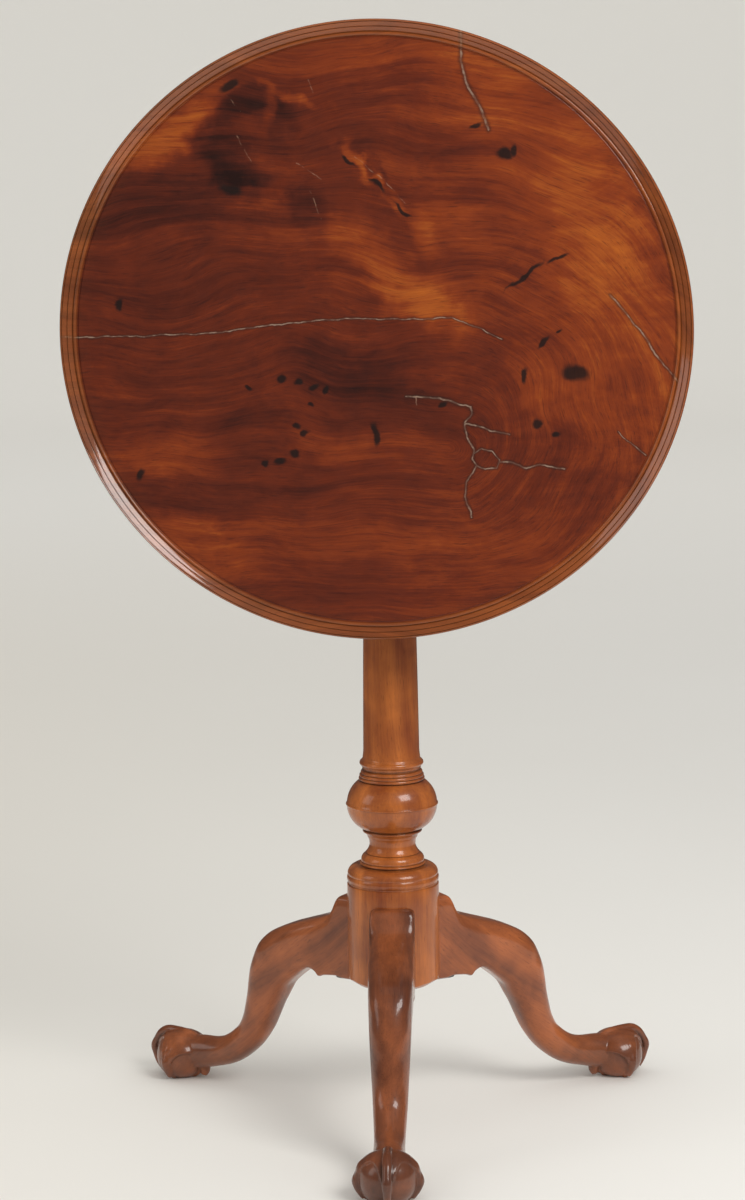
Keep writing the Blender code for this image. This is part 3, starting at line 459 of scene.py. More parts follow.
# The figured top ----------------------------------------------------------------------------------
# Lighter and darker flames in the figure, measured from the top's middle, each as (across, up), (reach),
# turn in degrees and how much lighter.
FLAMES = [
    ((-0.185, 0.186), (0.062, 0.020), 33, 0.30),
    ((-0.132, 0.170), (0.024, 0.030), 12, -0.22),
    ((-0.120, 0.138), (0.024, 0.014), -20, -0.16),
    ((-0.104, 0.214), (0.030, 0.010), 25, -0.20),
    ((-0.086, 0.190), (0.012, 0.028), -15, -0.12),
    ((-0.055, 0.195), (0.050, 0.018), -5, -0.06),
    ((-0.092, 0.203), (0.005, 0.014), -10, 0.22),
    ((-0.074, 0.224), (0.024, 0.005), -25, 0.24),
    ((-0.100, 0.118), (0.030, 0.012), 15, 0.14),
    ((-0.215, 0.115), (0.080, 0.034), 8, -0.10),
    ((-0.058, 0.105), (0.018, 0.024), 0, -0.14),
    ((-0.012, 0.148), (0.028, 0.005), -45, 0.24),
    ((0.020, 0.118), (0.022, 0.005), -55, 0.24),
    ((0.014, 0.128), (0.026, 0.004), -50, -0.16),
    ((0.048, 0.086), (0.010, 0.020), 15, 0.18),
    ((0.000, 0.262), (0.150, 0.020), 0, 0.12),
    ((0.095, 0.225), (0.040, 0.040), -30, 0.12),
    ((0.150, 0.170), (0.060, 0.045), -50, 0.10),
    ((0.205, 0.110), (0.050, 0.085), 15, 0.14),
    ((0.235, -0.005), (0.050, 0.110), 5, 0.12),
    ((0.020, 0.048), (0.070, 0.022), -38, 0.22),
    ((0.055, 0.020), (0.050, 0.016), -10, 0.16),
    ((-0.070, 0.080), (0.060, 0.020), 5, 0.10),
    ((0.078, 0.100), (0.050, 0.016), -48, 0.08),
    ((-0.020, -0.030), (0.060, 0.022), 0, -0.16),
    ((0.030, -0.060), (0.070, 0.020), -8, -0.12),
    ((-0.210, -0.112), (0.060, 0.026), 8, 0.16),
    ((-0.030, -0.098), (0.040, 0.014), -20, 0.14),
    ((-0.070, -0.140), (0.070, 0.018), 5, -0.06),
    ((-0.050, -0.200), (0.160, 0.026), 0, 0.10),
    ((-0.160, -0.205), (0.060, 0.024), -20, 0.16),
    ((0.160, -0.135), (0.075, 0.045), -35, -0.06),
    ((0.175, -0.055), (0.050, 0.020), -30, 0.10),
]
# Dark knots and bark marks, each as (across, up), (reach), turn.
KNOTS = [
    ((0.184, -0.040), (0.0145, 0.0095), -8),
    ((0.120, 0.157), (0.0080, 0.0070), 20),
    ((0.128, 0.160), (0.0030, 0.0070), -20),
    ((0.094, 0.184), (0.0090, 0.0030), 20),
    ((0.001, -0.096), (0.0040, 0.0120), 4),
    ((-0.220, -0.133), (0.0038, 0.0085), -12),
    ((-0.236, 0.024), (0.0032, 0.0065), 8),
    ((0.138, -0.043), (0.0030, 0.0075), 5),
    ((0.155, -0.012), (0.0080, 0.0025), 45),
    ((0.170, -0.002), (0.0040, 0.0020), 30),
    ((-0.086, -0.045), (0.0060, 0.0035), 0),
    ((-0.070, -0.047), (0.0045, 0.0040), 0),
    ((-0.057, -0.052), (0.0050, 0.0030), 20),
    ((-0.046, -0.056), (0.0040, 0.0040), 0),
    ((-0.060, -0.068), (0.0035, 0.0030), 0),
    ((-0.072, -0.088), (0.0055, 0.0030), -10),
    ((-0.066, -0.094), (0.0035, 0.0035), 0),
    ((-0.074, -0.113), (0.0055, 0.0045), 0),
    ((-0.088, -0.121), (0.0075, 0.0040), 10),
    ((-0.103, -0.122), (0.0050, 0.0035), 0),
    ((-0.117, -0.053), (0.0050, 0.0030), -20),
    ((0.062, -0.068), (0.0050, 0.0035), 0),
    ((0.166, -0.096), (0.0050, 0.0030), -10),
    ((0.150, -0.086), (0.0060, 0.0045), -20),
    ((-0.020, 0.152), (0.0090, 0.0022), -40),
    ((0.004, 0.132), (0.0120, 0.0022), -45),
    ((0.028, 0.108), (0.0110, 0.0020), -50),
    ((0.138, 0.048), (0.0240, 0.0022), 36),
    ((0.168, 0.064), (0.0120, 0.0020), 24),
    ((-0.128, 0.223), (0.0110, 0.0050), 25),
    ((-0.130, 0.128), (0.0130, 0.0060), -15),
]
# Cracks that were filled with pale putty, each as its width and a run of points from the top's middle.
CRACKS = [
    (0.0009, [(-0.290, -0.005), (-0.200, -0.004), (-0.148, -0.002), (-0.090, 0.006),
              (-0.029, 0.010), (0.072, 0.010), (0.096, 0.002), (0.118, -0.010)]),
    (0.0016, [(0.083, 0.270), (0.082, 0.240), (0.087, 0.222), (0.093, 0.211), (0.103, 0.190),
              (0.107, 0.180)]),
    (0.0011, [(0.216, 0.031), (0.229, 0.014), (0.242, -0.001), (0.253, -0.018), (0.264, -0.033),
              (0.276, -0.048)]),
    (0.0013, [(0.029, -0.061), (0.058, -0.062), (0.075, -0.067), (0.088, -0.071),
              (0.089, -0.078), (0.083, -0.085), (0.085, -0.098), (0.091, -0.109),
              (0.089, -0.118), (0.093, -0.124)]),
    (0.0010, [(0.083, -0.086), (0.094, -0.088), (0.108, -0.093), (0.124, -0.096)]),
    (0.0012, [(0.093, -0.124), (0.090, -0.131), (0.084, -0.140), (0.082, -0.152),
              (0.087, -0.168), (0.088, -0.173)]),
    (0.0010, [(0.093, -0.124), (0.101, -0.128), (0.111, -0.127), (0.115, -0.119),
              (0.108, -0.111), (0.098, -0.109), (0.091, -0.113)]),
    (0.0012, [(0.115, -0.121), (0.127, -0.122), (0.138, -0.127), (0.152, -0.124), (0.174, -0.128)]),
    (0.0008, [(0.222, -0.094), (0.248, -0.116)]),
]
# Short pale scratches: from, to.
SCRATCHES = [
    ((-0.131, 0.213), (-0.119, 0.199)), ((-0.124, 0.178), (-0.108, 0.150)),
    ((-0.068, 0.152), (-0.046, 0.137)), ((-0.057, 0.126), (-0.047, 0.102)),
    ((-0.056, 0.226), (-0.051, 0.214)), ((-0.015, 0.157), (0.010, 0.136)),
    ((0.010, 0.136), (0.035, 0.110)), ((0.038, -0.062), (0.039, -0.069)),
]
FIGURE_RAISED = 0.003
GRAIN_EYE = Vector((0.068, 0.0, -0.092))     # grain runs straight on the left, and bends round this point
WIDE_FLAME = 0.023                # flames that reach farther than this wander with the figure
KNOT_SIZE = 0.82
SCRATCH_WIDTH = 0.0009
TOP_TONES = [
    (0.10, (0.018, 0.0045, 0.0030)),
    (0.30, (0.070, 0.0100, 0.0035)),
    (0.48, (0.130, 0.0175, 0.0035)),
    (0.66, (0.225, 0.0350, 0.0040)),
    (0.92, (0.400, 0.0950, 0.0090)),
]
UNDERSIDE_TONES = [
    (0.15, (0.050, 0.026, 0.015)),
    (0.55, (0.120, 0.060, 0.034)),
    (0.90, (0.190, 0.100, 0.058)),
]
FILLED_PORES = (0.020, 0.006, 0.004)
BARK = (0.010, 0.006, 0.005)
# Painted shadow beside the cracks.
CRACK_SHADOW = (0.022, 0.009, 0.006)
PUTTY = (0.30, 0.205, 0.150)
BARE_SCRATCH = (0.36, 0.20, 0.13)
PALE_RIM = (0.38, 0.120, 0.026)
RUBBED_EDGE = (0.42, 0.17, 0.06)
RIM_DIRT_AND_SHADE = (0.012, 0.006, 0.004)


def on_face(point):
    return Vector((point[0], 0.0, point[1]))


def spot(tree, place, centre, reach, degrees, softness):
    inputs = {
        "Vector": place, "Centre": on_face(centre), "Turn": math.radians(degrees),
        "Reach": (reach[0], 1.0, reach[1]), "Softness": softness,
    }
    return tree.use("soft_spot", inputs)["Mask"]


def run_of_crack(tree, place, start, end, width):
    inputs = {"Vector": place, "Start": on_face(start), "End": on_face(end), "Width": width}
    return tree.use("crack_line", inputs)


def grain_of_top(tree, flat, narrow):
    """Streaks, fine lines, pores and mottle of grain that bends round its eye, and the place across."""
    sway = tree.drift(flat, 6.0, 1.3)
    bent = tree.vector("ADD", flat, tree.stretch(sway, (0.10, 0.0, 0.085)))
    bent = tree.vector("ADD", bent, tree.stretch(narrow, (0.0, 0.0, 0.0022)))
    parts = tree.add("ShaderNodeSeparateXYZ", {0: bent}).outputs
    past = tree.math("MAXIMUM", tree.math("SUBTRACT", parts["X"], GRAIN_EYE.x), 0.0)
    past = tree.math("MULTIPLY", past, 0.9)
    beside = tree.math("SUBTRACT", parts["Z"], GRAIN_EYE.z)
    line = tree.math("SQRT", tree.math("MULTIPLY_ADD", past, past, tree.math("MULTIPLY", beside, beside)))
    flow = tree.add("ShaderNodeCombineXYZ", {0: parts["X"], 1: parts["Z"], 2: line}).outputs[0]
    return {
        "across": parts["X"],
        "streaks": tree.noise(tree.stretch(flow, (4.0, 9.0, 66.0)), 1.0, 5.0, 0.66, 0.3),
        "fine": tree.noise(tree.stretch(flow, (16.0, 30.0, 460.0)), 1.0, 4.0, 0.7),
        "pores": tree.span(tree.noise(tree.stretch(flow, (70.0, 110.0, 1500.0)), 1.0, 1.0), 0.60, 0.70),
        "mottle": tree.noise(tree.stretch(bent, (22.0, 22.0, 60.0)), 1.0, 5.0, 0.68, 0.6),
    }


def figure_tone(tree, grain, wandering, nearly):
    """How light the wood is, from its grain and the flames of its figure."""
    tone = tree.math("MULTIPLY_ADD", grain["streaks"], 0.62, -0.24)
    tone = tree.math("MULTIPLY_ADD", grain["fine"], 0.34, tone)
    tone = tree.math("MULTIPLY_ADD", grain["mottle"], 0.38, tone)
    tone = tree.math("ADD", tone, tree.span(grain["across"], -0.16, 0.24, -0.01, 0.10))
    for centre, reach, degrees, strength in FLAMES:
        place = wandering if max(reach) > WIDE_FLAME else nearly
        tone = tree.math("MULTIPLY_ADD", spot(tree, place, centre, reach, degrees, 0.62), strength, tone)
    return tone


def knot_mask(tree, nearly):
    knots = 0.0
    for centre, reach, degrees in KNOTS:
        small = [side * KNOT_SIZE for side in reach]
        knots = tree.math("MAXIMUM", spot(tree, nearly, centre, small, degrees, 0.38), knots)
    return knots


def crack_masks(tree, flat, narrow):
    """The cracks, the painted shadow beside them and the scratches, each as a mask."""
    jagged = tree.drift(flat, 130.0, 2.0)
    wobbly = tree.vector("ADD", flat, tree.stretch(narrow, (0.0050, 0.0, 0.0050)))
    wobbly = tree.vector("ADD", wobbly, tree.stretch(jagged, (0.0022, 0.0, 0.0022)))
    cracks, shadow_beside, scratches = 0.0, 0.0, 0.0
    for width, points in CRACKS:
        for start, end in zip(points, points[1:]):
            run = run_of_crack(tree, wobbly, start, end, width)
            cracks = tree.math("MAXIMUM", run["Mask"], cracks)
            shadow_beside = tree.math("MAXIMUM", run["Shade"], shadow_beside)
    for start, end in SCRATCHES:
        run = run_of_crack(tree, wobbly, start, end, SCRATCH_WIDTH)
        scratches = tree.math("MAXIMUM", run["Mask"], scratches)
    return cracks, shadow_beside, scratches


def rim_mask(tree, place):
    """1 on the moulded rim, 0 on the floor of the dish."""
    from_middle = tree.vector("SUBTRACT", place, tuple(TOP_CENTRE))
    oval = tree.vector("DIVIDE", from_middle, (TOP_HALF_LENGTH, 1.0, TOP_HALF_WIDTH))
    out = tree.vector("LENGTH", tree.stretch(oval, (1.0, 0.0, 1.0)))
    return tree.span(out, 0.944, 0.952)


def figured_top_wood():
    """The polished face with its figure, knots, cracks and rim, and the dry underside."""
    made, tree, shader, place = new_material(
        "figured_mahogany", 0.40, coat=0.80, coat_roughness=0.08, specular=0.2,
    )
    local = tree.vector("SUBTRACT", place, tuple(TOP_CENTRE + Vector((0.0, 0.0, FIGURE_RAISED))))
    flat = tree.stretch(local, (1.0, 0.0, 1.0))
    wide = tree.drift(flat, 7.0, 3.0, 0.55)
    narrow = tree.drift(flat, 48.0, 3.0)
    wandering = tree.vector("ADD", flat, tree.stretch(wide, (0.075, 0.0, 0.075)))
    wandering = tree.vector("ADD", wandering, tree.stretch(narrow, (0.040, 0.0, 0.028)))
    nearly = tree.vector("ADD", flat, tree.stretch(narrow, (0.0150, 0.0, 0.0130)))
    grain = grain_of_top(tree, flat, narrow)
    tone = figure_tone(tree, grain, wandering, nearly)
    colour = tree.ramp(tone, TOP_TONES)
    knots = knot_mask(tree, nearly)
    cracks, crack_shadow, scratches = crack_masks(tree, flat, narrow)
    patchy = tree.span(tree.noise(flat, 110.0, 3.0), 0.40, 0.64)
    putty = tree.math("MULTIPLY", cracks, tree.math("MULTIPLY_ADD", patchy, 0.62, 0.16))
    wear_and_shade = tree.use("handled_and_shaded_surface", {"Vector": place, "Crevice Size": 0.0030})
    colour = tree.tint(colour, grain["pores"], 0.40, FILLED_PORES)
    colour = tree.tint(colour, knots, 0.90, BARK)
    # Painted shadow beside the cracks.
    colour = tree.tint(colour, crack_shadow, 0.55, CRACK_SHADOW)
    colour = tree.blend(putty, colour, (*PUTTY, 1.0))
    colour = tree.tint(colour, scratches, tree.math("MULTIPLY", patchy, 0.45), BARE_SCRATCH)
    on_rim = rim_mask(tree, place)
    colour = tree.tint(colour, on_rim, tree.math("MULTIPLY", grain["streaks"], 0.70), PALE_RIM)
    colour = tree.tint(colour, wear_and_shade["Edges"], 0.35, RUBBED_EDGE)
    # Painted shade with soiling in the hollows of the top, mostly the rim's grooves, found by ambient
    # occlusion.
    colour = tree.tint(colour, wear_and_shade["Crevices"], 0.42, RIM_DIRT_AND_SHADE)
    depth = tree.add("ShaderNodeSeparateXYZ", {0: local}).outputs["Y"]
    under = tree.span(depth, 0.0, TOP_THICKNESS * 0.22)
    dry = tree.ramp(tone, UNDERSIDE_TONES)
    colour = tree.blend(under, colour, dry)
    roughness = tree.math("MULTIPLY_ADD", wear_and_shade["Smudges"], 0.22, 0.30)
    roughness = tree.math("MULTIPLY_ADD", cracks, 0.35, roughness)
    roughness = tree.math("MAXIMUM", roughness, tree.math("MULTIPLY", under, 0.72))
    polish = tree.math("MULTIPLY_ADD", wear_and_shade["Smudges"], -0.25, 1.10)
    bare = tree.math("MAXIMUM", under, putty)
    coat = tree.math("MULTIPLY", tree.math("SUBTRACT", 1.0, bare), polish)
    tree.tree.links.new(coat, shader.inputs["Coat Weight"])
    raised = tree.noise(tree.stretch(flat, (45.0, 1.0, 900.0)), 1.0, 2.0)
    height = tree.math("MULTIPLY_ADD", raised, 0.05, wear_and_shade["Unevenness"])
    finish_shader(tree, shader, colour, roughness, height, 0.0008)
    return made


def dished_top():
    """The top, turned level and then tipped up: a flat floor in a rim of bead, hollow, ovolo and edge."""
    floor = TOP_THICKNESS - DISH_DEPTH
    outer = TOP_HALF_LENGTH
    marks = [
        (0.0000, floor),
        *((step * 0.0400, floor) for step in range(1, 7)),
        (outer - 0.0170, floor),
        (outer - 0.0156, floor - 0.0003, -0.0002),
        (outer - 0.0149, floor + 0.0006),
        (outer - 0.0118, floor + 0.0014, 0.0011),
        (outer - 0.0114, floor + 0.0008),
        (outer - 0.0110, floor + 0.0014),
        (outer - 0.0073, floor + 0.0042, 0.00008),
        (outer - 0.0070, floor + 0.0034),
        (outer - 0.0066, floor + 0.0038),
        (outer - 0.0027, TOP_THICKNESS - 0.0001, 0.00008),
        (outer - 0.0024, TOP_THICKNESS - 0.0009),
        (outer - 0.0020, TOP_THICKNESS - 0.0004),
        (outer - 0.0014, TOP_THICKNESS),
        (outer - 0.0003, TOP_THICKNESS - 0.0040, 0.0007),
        (outer, TOP_THICKNESS - 0.0056),
        (outer - 0.0012, TOP_THICKNESS - 0.0095, 0.0003),
        (outer - 0.0070, TOP_THICKNESS - 0.0140, 0.0004),
        (outer - 0.0200, 0.0022, 0.0008),
        (outer - 0.0340, 0.0000, 0.0004),
        (0.2200, 0.0), (0.1800, 0.0), (0.1400, 0.0), (0.1000, 0.0), (0.0500, 0.0), (0.0, 0.0),
    ]
    shape = lathe(rounded(marks), 288)
    narrow = Matrix.Diagonal((1.0, TOP_HALF_WIDTH / TOP_HALF_LENGTH, 1.0, 1.0))
    tip_up = Matrix.Rotation(math.pi / 2, 4, "X")
    lift = Matrix.Translation((TOP_CENTRE.x, top_high.y, TOP_CENTRE.z))
    bmesh.ops.transform(shape, matrix=lift @ tip_up @ narrow, verts=shape.verts)
    return piece("dished_top", shape, figured_top_wood(), "top", ["table_top"], 30.0)


# The turned pillar --------------------------------------------------------------------------------
def hub_scallop(degrees):
    """How far the hub's lower edge rises, at an angle from the middle of the space between two legs."""
    away = abs(degrees)
    lobe = math.cos(math.radians(min(away - 9.0, 44.0) / 44.0 * 90.0)) if away > 9.0 else 1.0
    notch = 0.0012 * (1.0 - away / 9.0) if away < 9.0 else 0.0
    return 0.0052 * lobe + notch


def turned_pillar():
    marks = [
        (0.0000, PIN_TOP), (0.0100, PIN_TOP), (0.0110, PIN_TOP - 0.0010, 0.0003),
        (0.0110, UPPER_BOARD_BOTTOM - 0.0010), (0.0165, UPPER_BOARD_BOTTOM - 0.0010),
        (0.0170, UPPER_BOARD_BOTTOM - 0.0015), (0.0170, 0.6400), (0.0170, LOWER_BOARD_BOTTOM - 0.0003),
        (0.0262, LOWER_BOARD_BOTTOM - 0.0003),
        (0.0262, LOWER_BOARD_BOTTOM - 0.0073, 0.0012), (0.0242, LOWER_BOARD_BOTTOM - 0.0080),
        (0.0234, LOWER_BOARD_BOTTOM - 0.0145, -0.0006),
        (0.0246, 0.5300), (0.0260, 0.4500), (0.0266, 0.4000), (0.0270, 0.3660), (0.0277, 0.3574, -0.0002),
        (0.0288, 0.3543, -0.0004), (0.0290, 0.3538),
        (0.0289, 0.3482, 0.0019), (0.0285, 0.3478), (0.0284, 0.3462), (0.0273, 0.3458), (0.0271, 0.3447),
        (0.0276, 0.3442), (0.0298, 0.3411, 0.0009), (0.0292, 0.3408), (0.0310, 0.3379, 0.0009),
        (0.0304, 0.3376),
        (0.0313, 0.3345, 0.0010), (0.0305, 0.3340), (0.0320, 0.3334),
        (0.0436, 0.3122, 0.0028), (0.0438, 0.3118), (0.0438, 0.3098, 0.0008), (0.0436, 0.3094),
        (0.0291, 0.2866, 0.0039), (0.0277, 0.2860), (0.0282, 0.2852), (0.0277, 0.2828, 0.0008),
        (0.0266, 0.2824), (0.0243, 0.2782, -0.0004), (0.0224, 0.2722, -0.0005),
        (0.0236, 0.2664, -0.0005), (0.0256, 0.2634, -0.0001),
        (0.0262, 0.2628), (0.0258, 0.2622), (0.0268, 0.2616),
        (0.0304, 0.2544, 0.0014), (0.0300, 0.2540), (0.0310, 0.2533), (0.0314, 0.2512, 0.0007),
        (0.0310, 0.2506),
        (0.0334, 0.2498, -0.0002), (0.0440, 0.2424, 0.0030), (0.0436, 0.2412), (0.0440, 0.2404),
        (0.0440, 0.2348, 0.0006), (0.0433, 0.2338), (0.0433, 0.2328), (0.0444, 0.2318), (0.0445, 0.2310),
        (HUB_RADIUS, 0.2000), (HUB_RADIUS, 0.1700), (HUB_RADIUS, 0.1450),
        (HUB_RADIUS, HUB_BOTTOM + 0.0006),
        (HUB_RADIUS - 0.0006, HUB_BOTTOM), (0.0360, HUB_BOTTOM), (0.0200, HUB_BOTTOM), (0.0, HUB_BOTTOM),
    ]
    shape = lathe(rounded(marks), 240)
    first = math.degrees(math.atan2(FEET["leg_front"].y, FEET["leg_front"].x))
    for vert in shape.verts:
        if vert.co.z < HUB_BOTTOM + 0.0010 and vert.co.xy.length > HUB_RADIUS - 0.0020:
            angle = math.degrees(math.atan2(vert.co.y, vert.co.x))
            vert.co.z += hub_scallop((angle - first) % 120.0 - 60.0)
    bmesh.ops.translate(shape, vec=AXIS, verts=shape.verts)
    wood = polished_mahogany("turned_mahogany", (0.200, 0.040, 0.008), (0.540, 0.155, 0.026), band=0.020)
    return piece("turned_pillar", shape, wood, "stand", ["pillar"], 30.0)


# Legs and feet ------------------------------------------------------------------------------------
# Sections of a leg: its upper edge and lower edge as (distance from the pillar's axis, height), half its
# thickness, and how square it is above and below.
LEG_SECTIONS = [
    ((0.0360, 0.2160), (0.0360, 0.1330), 0.0218, 12, 14),
    ((0.0480, 0.2160), (0.0480, 0.1330), 0.0218, 12, 14),
    ((0.0512, 0.2154), (0.0520, 0.1338), 0.0218, 12, 14),
    ((0.0540, 0.2128), (0.0552, 0.1345), 0.0218, 11, 14),
    ((0.0562, 0.2085), (0.0580, 0.1346), 0.0218, 10, 14),
    ((0.0590, 0.2030), (0.0605, 0.1345), 0.0218, 8, 14),
    ((0.0640, 0.1966), (0.0645, 0.1341), 0.0218, 6.5, 13),
    ((0.0730, 0.1924), (0.0700, 0.1334), 0.0218, 5.5, 12),
    ((0.0790, 0.1903), (0.0738, 0.1322), 0.0218, 5, 12),
    ((0.0830, 0.1889), (0.0757, 0.1314), 0.0218, 5, 12),
    ((0.0860, 0.1879), (0.0772, 0.1326), 0.0218, 5, 11),
    ((0.0890, 0.1869), (0.0790, 0.1346), 0.0218, 4.8, 10),
    ((0.0930, 0.1856), (0.0815, 0.1362), 0.0218, 4.6, 9),
    ((0.0990, 0.1837), (0.0860, 0.1378), 0.0218, 4.4, 8),
    ((0.1060, 0.1814), (0.0905, 0.1372), 0.0217, 4.2, 7),
    ((0.1160, 0.1780), (0.0950, 0.1350), 0.0215, 4, 6),
    ((0.1280, 0.1730), (0.1005, 0.1315), 0.0213, 3.8, 5.5),
    ((0.1400, 0.1665), (0.1060, 0.1270), 0.0210, 3.5, 5),
    ((0.1505, 0.1570), (0.1115, 0.1225), 0.0206, 3.3, 4.5),
    ((0.1588, 0.1450), (0.1165, 0.1180), 0.0202, 2.5, 4),
    ((0.1646, 0.1298), (0.1214, 0.1125), 0.0198, 2.4, 3.6),
    ((0.1675, 0.1155), (0.1270, 0.1020), 0.0192, 2.3, 3.2),
    ((0.1695, 0.1021), (0.1333, 0.0905), 0.0185, 2.2, 3.0),
    ((0.1722, 0.0892), (0.1390, 0.0776), 0.0177, 2.2, 2.8),
    ((0.1755, 0.0774), (0.1459, 0.0630), 0.0169, 2.1, 2.6),
    ((0.1809, 0.0662), (0.1571, 0.0468), 0.0161, 2.1, 2.4),
    ((0.1878, 0.0590), (0.1682, 0.0360), 0.0154, 2.2, 2.3),
    ((0.1955, 0.0530), (0.1805, 0.0270), 0.0148, 2.2, 2.2),
    ((0.2043, 0.0483), (0.1937, 0.0207), 0.0145, 2.2, 2.2),
    ((0.2150, 0.0457), (0.2090, 0.0163), 0.0147, 2.2, 2.2),
    ((0.2290, 0.0450), (0.2260, 0.0120), 0.0155, 2.2, 2.2),
    ((0.2400, 0.0440), (0.2390, 0.0110), 0.0165, 2.2, 2.2),
]
# The darkest and the lightest tone in each leg: one mahogany, given painted shade on the front leg and
# painted light on the side legs.
LEG_TONES_LIT_AND_SHADED = {
    "leg_front": ((0.085, 0.022, 0.009), (0.310, 0.086, 0.028)),
    "leg_right": ((0.160, 0.040, 0.013), (0.470, 0.128, 0.034)),
    "leg_left": ((0.125, 0.031, 0.010), (0.440, 0.120, 0.032)),
}
LEG_RINGS = 110
LEG_SLANT = 50.0                  # degrees from upright to the line from knee to foot
RING_POINTS = 56

BALL_RADIUS = 0.0256
BALL_HALF_HEIGHT = 0.0238
BALL_CENTRE_HEIGHT = 0.0215
FOOT_BREADTH = 1.05
HAND_PROUD = 0.0034               # how far the skin of the claw stands above the ball
# A talon's line over the ball as (reach, height, half width, half depth), from the ankle over two
# knuckles to the nail.
FRONT_TALON = [
    (-0.0260, 0.0370, 0.0042, 0.0046), (-0.0080, 0.0440, 0.0044, 0.0046),
    (0.0080, 0.0458, 0.0042, 0.0042),
    (0.0180, 0.0448, 0.0046, 0.0046), (0.0258, 0.0404, 0.0042, 0.0042), (0.0310, 0.0332, 0.0039, 0.0040),
    (0.0340, 0.0262, 0.0046, 0.0044), (0.0326, 0.0186, 0.0038, 0.0040), (0.0300, 0.0108, 0.0032, 0.0034),
    (0.0262, 0.0040, 0.0022, 0.0026),
]
SIDE_TALON = [
    (0.0020, 0.0400, 0.0052, 0.0048), (0.0100, 0.0402, 0.0050, 0.0046), (0.0168, 0.0378, 0.0048, 0.0044),
    (0.0218, 0.0330, 0.0054, 0.0048), (0.0246, 0.0268, 0.0044, 0.0040), (0.0270, 0.0196, 0.0050, 0.0044),
    (0.0256, 0.0130, 0.0042, 0.0038), (0.0232, 0.0078, 0.0034, 0.0032), (0.0205, 0.0032, 0.0022, 0.0024),
]
REAR_TALON = [
    (0.0180, 0.0300, 0.0085, 0.0080), (0.0238, 0.0220, 0.0080, 0.0070), (0.0266, 0.0150, 0.0068, 0.0056),
    (0.0278, 0.0096, 0.0056, 0.0050), (0.0262, 0.0040, 0.0036, 0.0036),
]
TALONS = [(0.0, FRONT_TALON), (88.0, SIDE_TALON), (-88.0, SIDE_TALON), (180.0, REAR_TALON)]
# Openings in the skin that show the ball: the middle of each in degrees, half its width, and how high it
# reaches above the ball's middle.
OPENINGS = [(44.0, 37.0, 0.0190), (-44.0, 37.0, 0.0190), (134.0, 35.0, 0.0075), (-134.0, 35.0, 0.0075)]


def leg_shaft():
    rows = [(*upper, *lower, half, above, below) for upper, lower, half, above, below in LEG_SECTIONS]
    rings = []
    for row in smooth_line(rows, LEG_RINGS):
        upper, lower = Vector((row[0], 0.0, row[1])), Vector((row[2], 0.0, row[3]))
        middle, rise = (upper + lower) / 2, (upper - lower) / 2
        matrix = Matrix((
            (0.0, rise.x, 0.0, middle.x),
            (row[4], 0.0, 1.0, 0.0),
            (0.0, rise.z, 0.0, middle.z),
            (0.0, 0.0, 0.0, 1.0),
        ))
        rings.append((matrix, row[5], row[6], RING_POINTS))
    return swept(rings)


def talon(line, degrees):
    """A claw whose line lies in an upright plane through the ball's middle."""
    outward = Vector((math.cos(math.radians(degrees)), math.sin(math.radians(degrees)), 0.0))
    aside = Vector((-outward.y, outward.x, 0.0))
    rows = smooth_line(line, 36)
    rings = []
    for index, row in enumerate(rows):
        before, after = rows[max(index - 1, 0)], rows[min(index + 1, len(rows) - 1)]
        along = (outward * (after[0] - before[0]) + Vector((0.0, 0.0, after[1] - before[1]))).normalized()
        upward = along.cross(aside)
        middle = outward * row[0] + Vector((0.0, 0.0, row[1]))
        matrix = Matrix((aside * row[2], upward * row[3], along)).transposed().to_4x4()
        rings.append((Matrix.Translation(middle) @ matrix, 2.0, 2.0, 16))
    return swept(rings)


def ball(radius, half_height, squareness=2.25):
    """A ball pressed a little flat, whose sides stand steeper than a sphere's."""
    shape = bmesh.new()
    bmesh.ops.create_uvsphere(shape, u_segments=96, v_segments=64, radius=1.0)
    for vert in shape.verts:
        flat, up = vert.co.xy.length, abs(vert.co.z)
        vert.co /= (flat ** squareness + up ** squareness) ** (1 / squareness)
    bmesh.ops.scale(shape, vec=(radius, radius, half_height), verts=shape.verts)
    bmesh.ops.translate(shape, vec=(0.0, 0.0, BALL_CENTRE_HEIGHT), verts=shape.verts)
    return shape


def claw_skin():
    """The skin that spreads from the ankle over the ball, with an arched opening between two talons."""
    shape = ball(BALL_RADIUS + HAND_PROUD, BALL_HALF_HEIGHT + HAND_PROUD * 0.6, 2.05)
    middle = Vector((0.0, 0.0, BALL_CENTRE_HEIGHT))
    for vert in shape.verts:
        local = vert.co - middle
        for degrees, half_width, crown in OPENINGS:
            aside = math.degrees(math.atan2(local.y, local.x)) - degrees
            across = abs((aside + 180.0) % 360.0 - 180.0) / half_width
            rise = max(local.z + 0.012, 0.0) / (crown + 0.012)
            edge = (across ** 2.2 + rise ** 2.2) ** (1 / 2.2)
            sunk = max(0.0, min(1.0, (1.03 - edge) * 14.0))
            vert.co -= local.normalized() * sunk * 1.9 * HAND_PROUD
    return shape


def foot():
    shape = ball(BALL_RADIUS, BALL_HALF_HEIGHT)
    merged(shape, claw_skin())
    for degrees, line in TALONS:
        merged(shape, talon(line, degrees))
    return shape


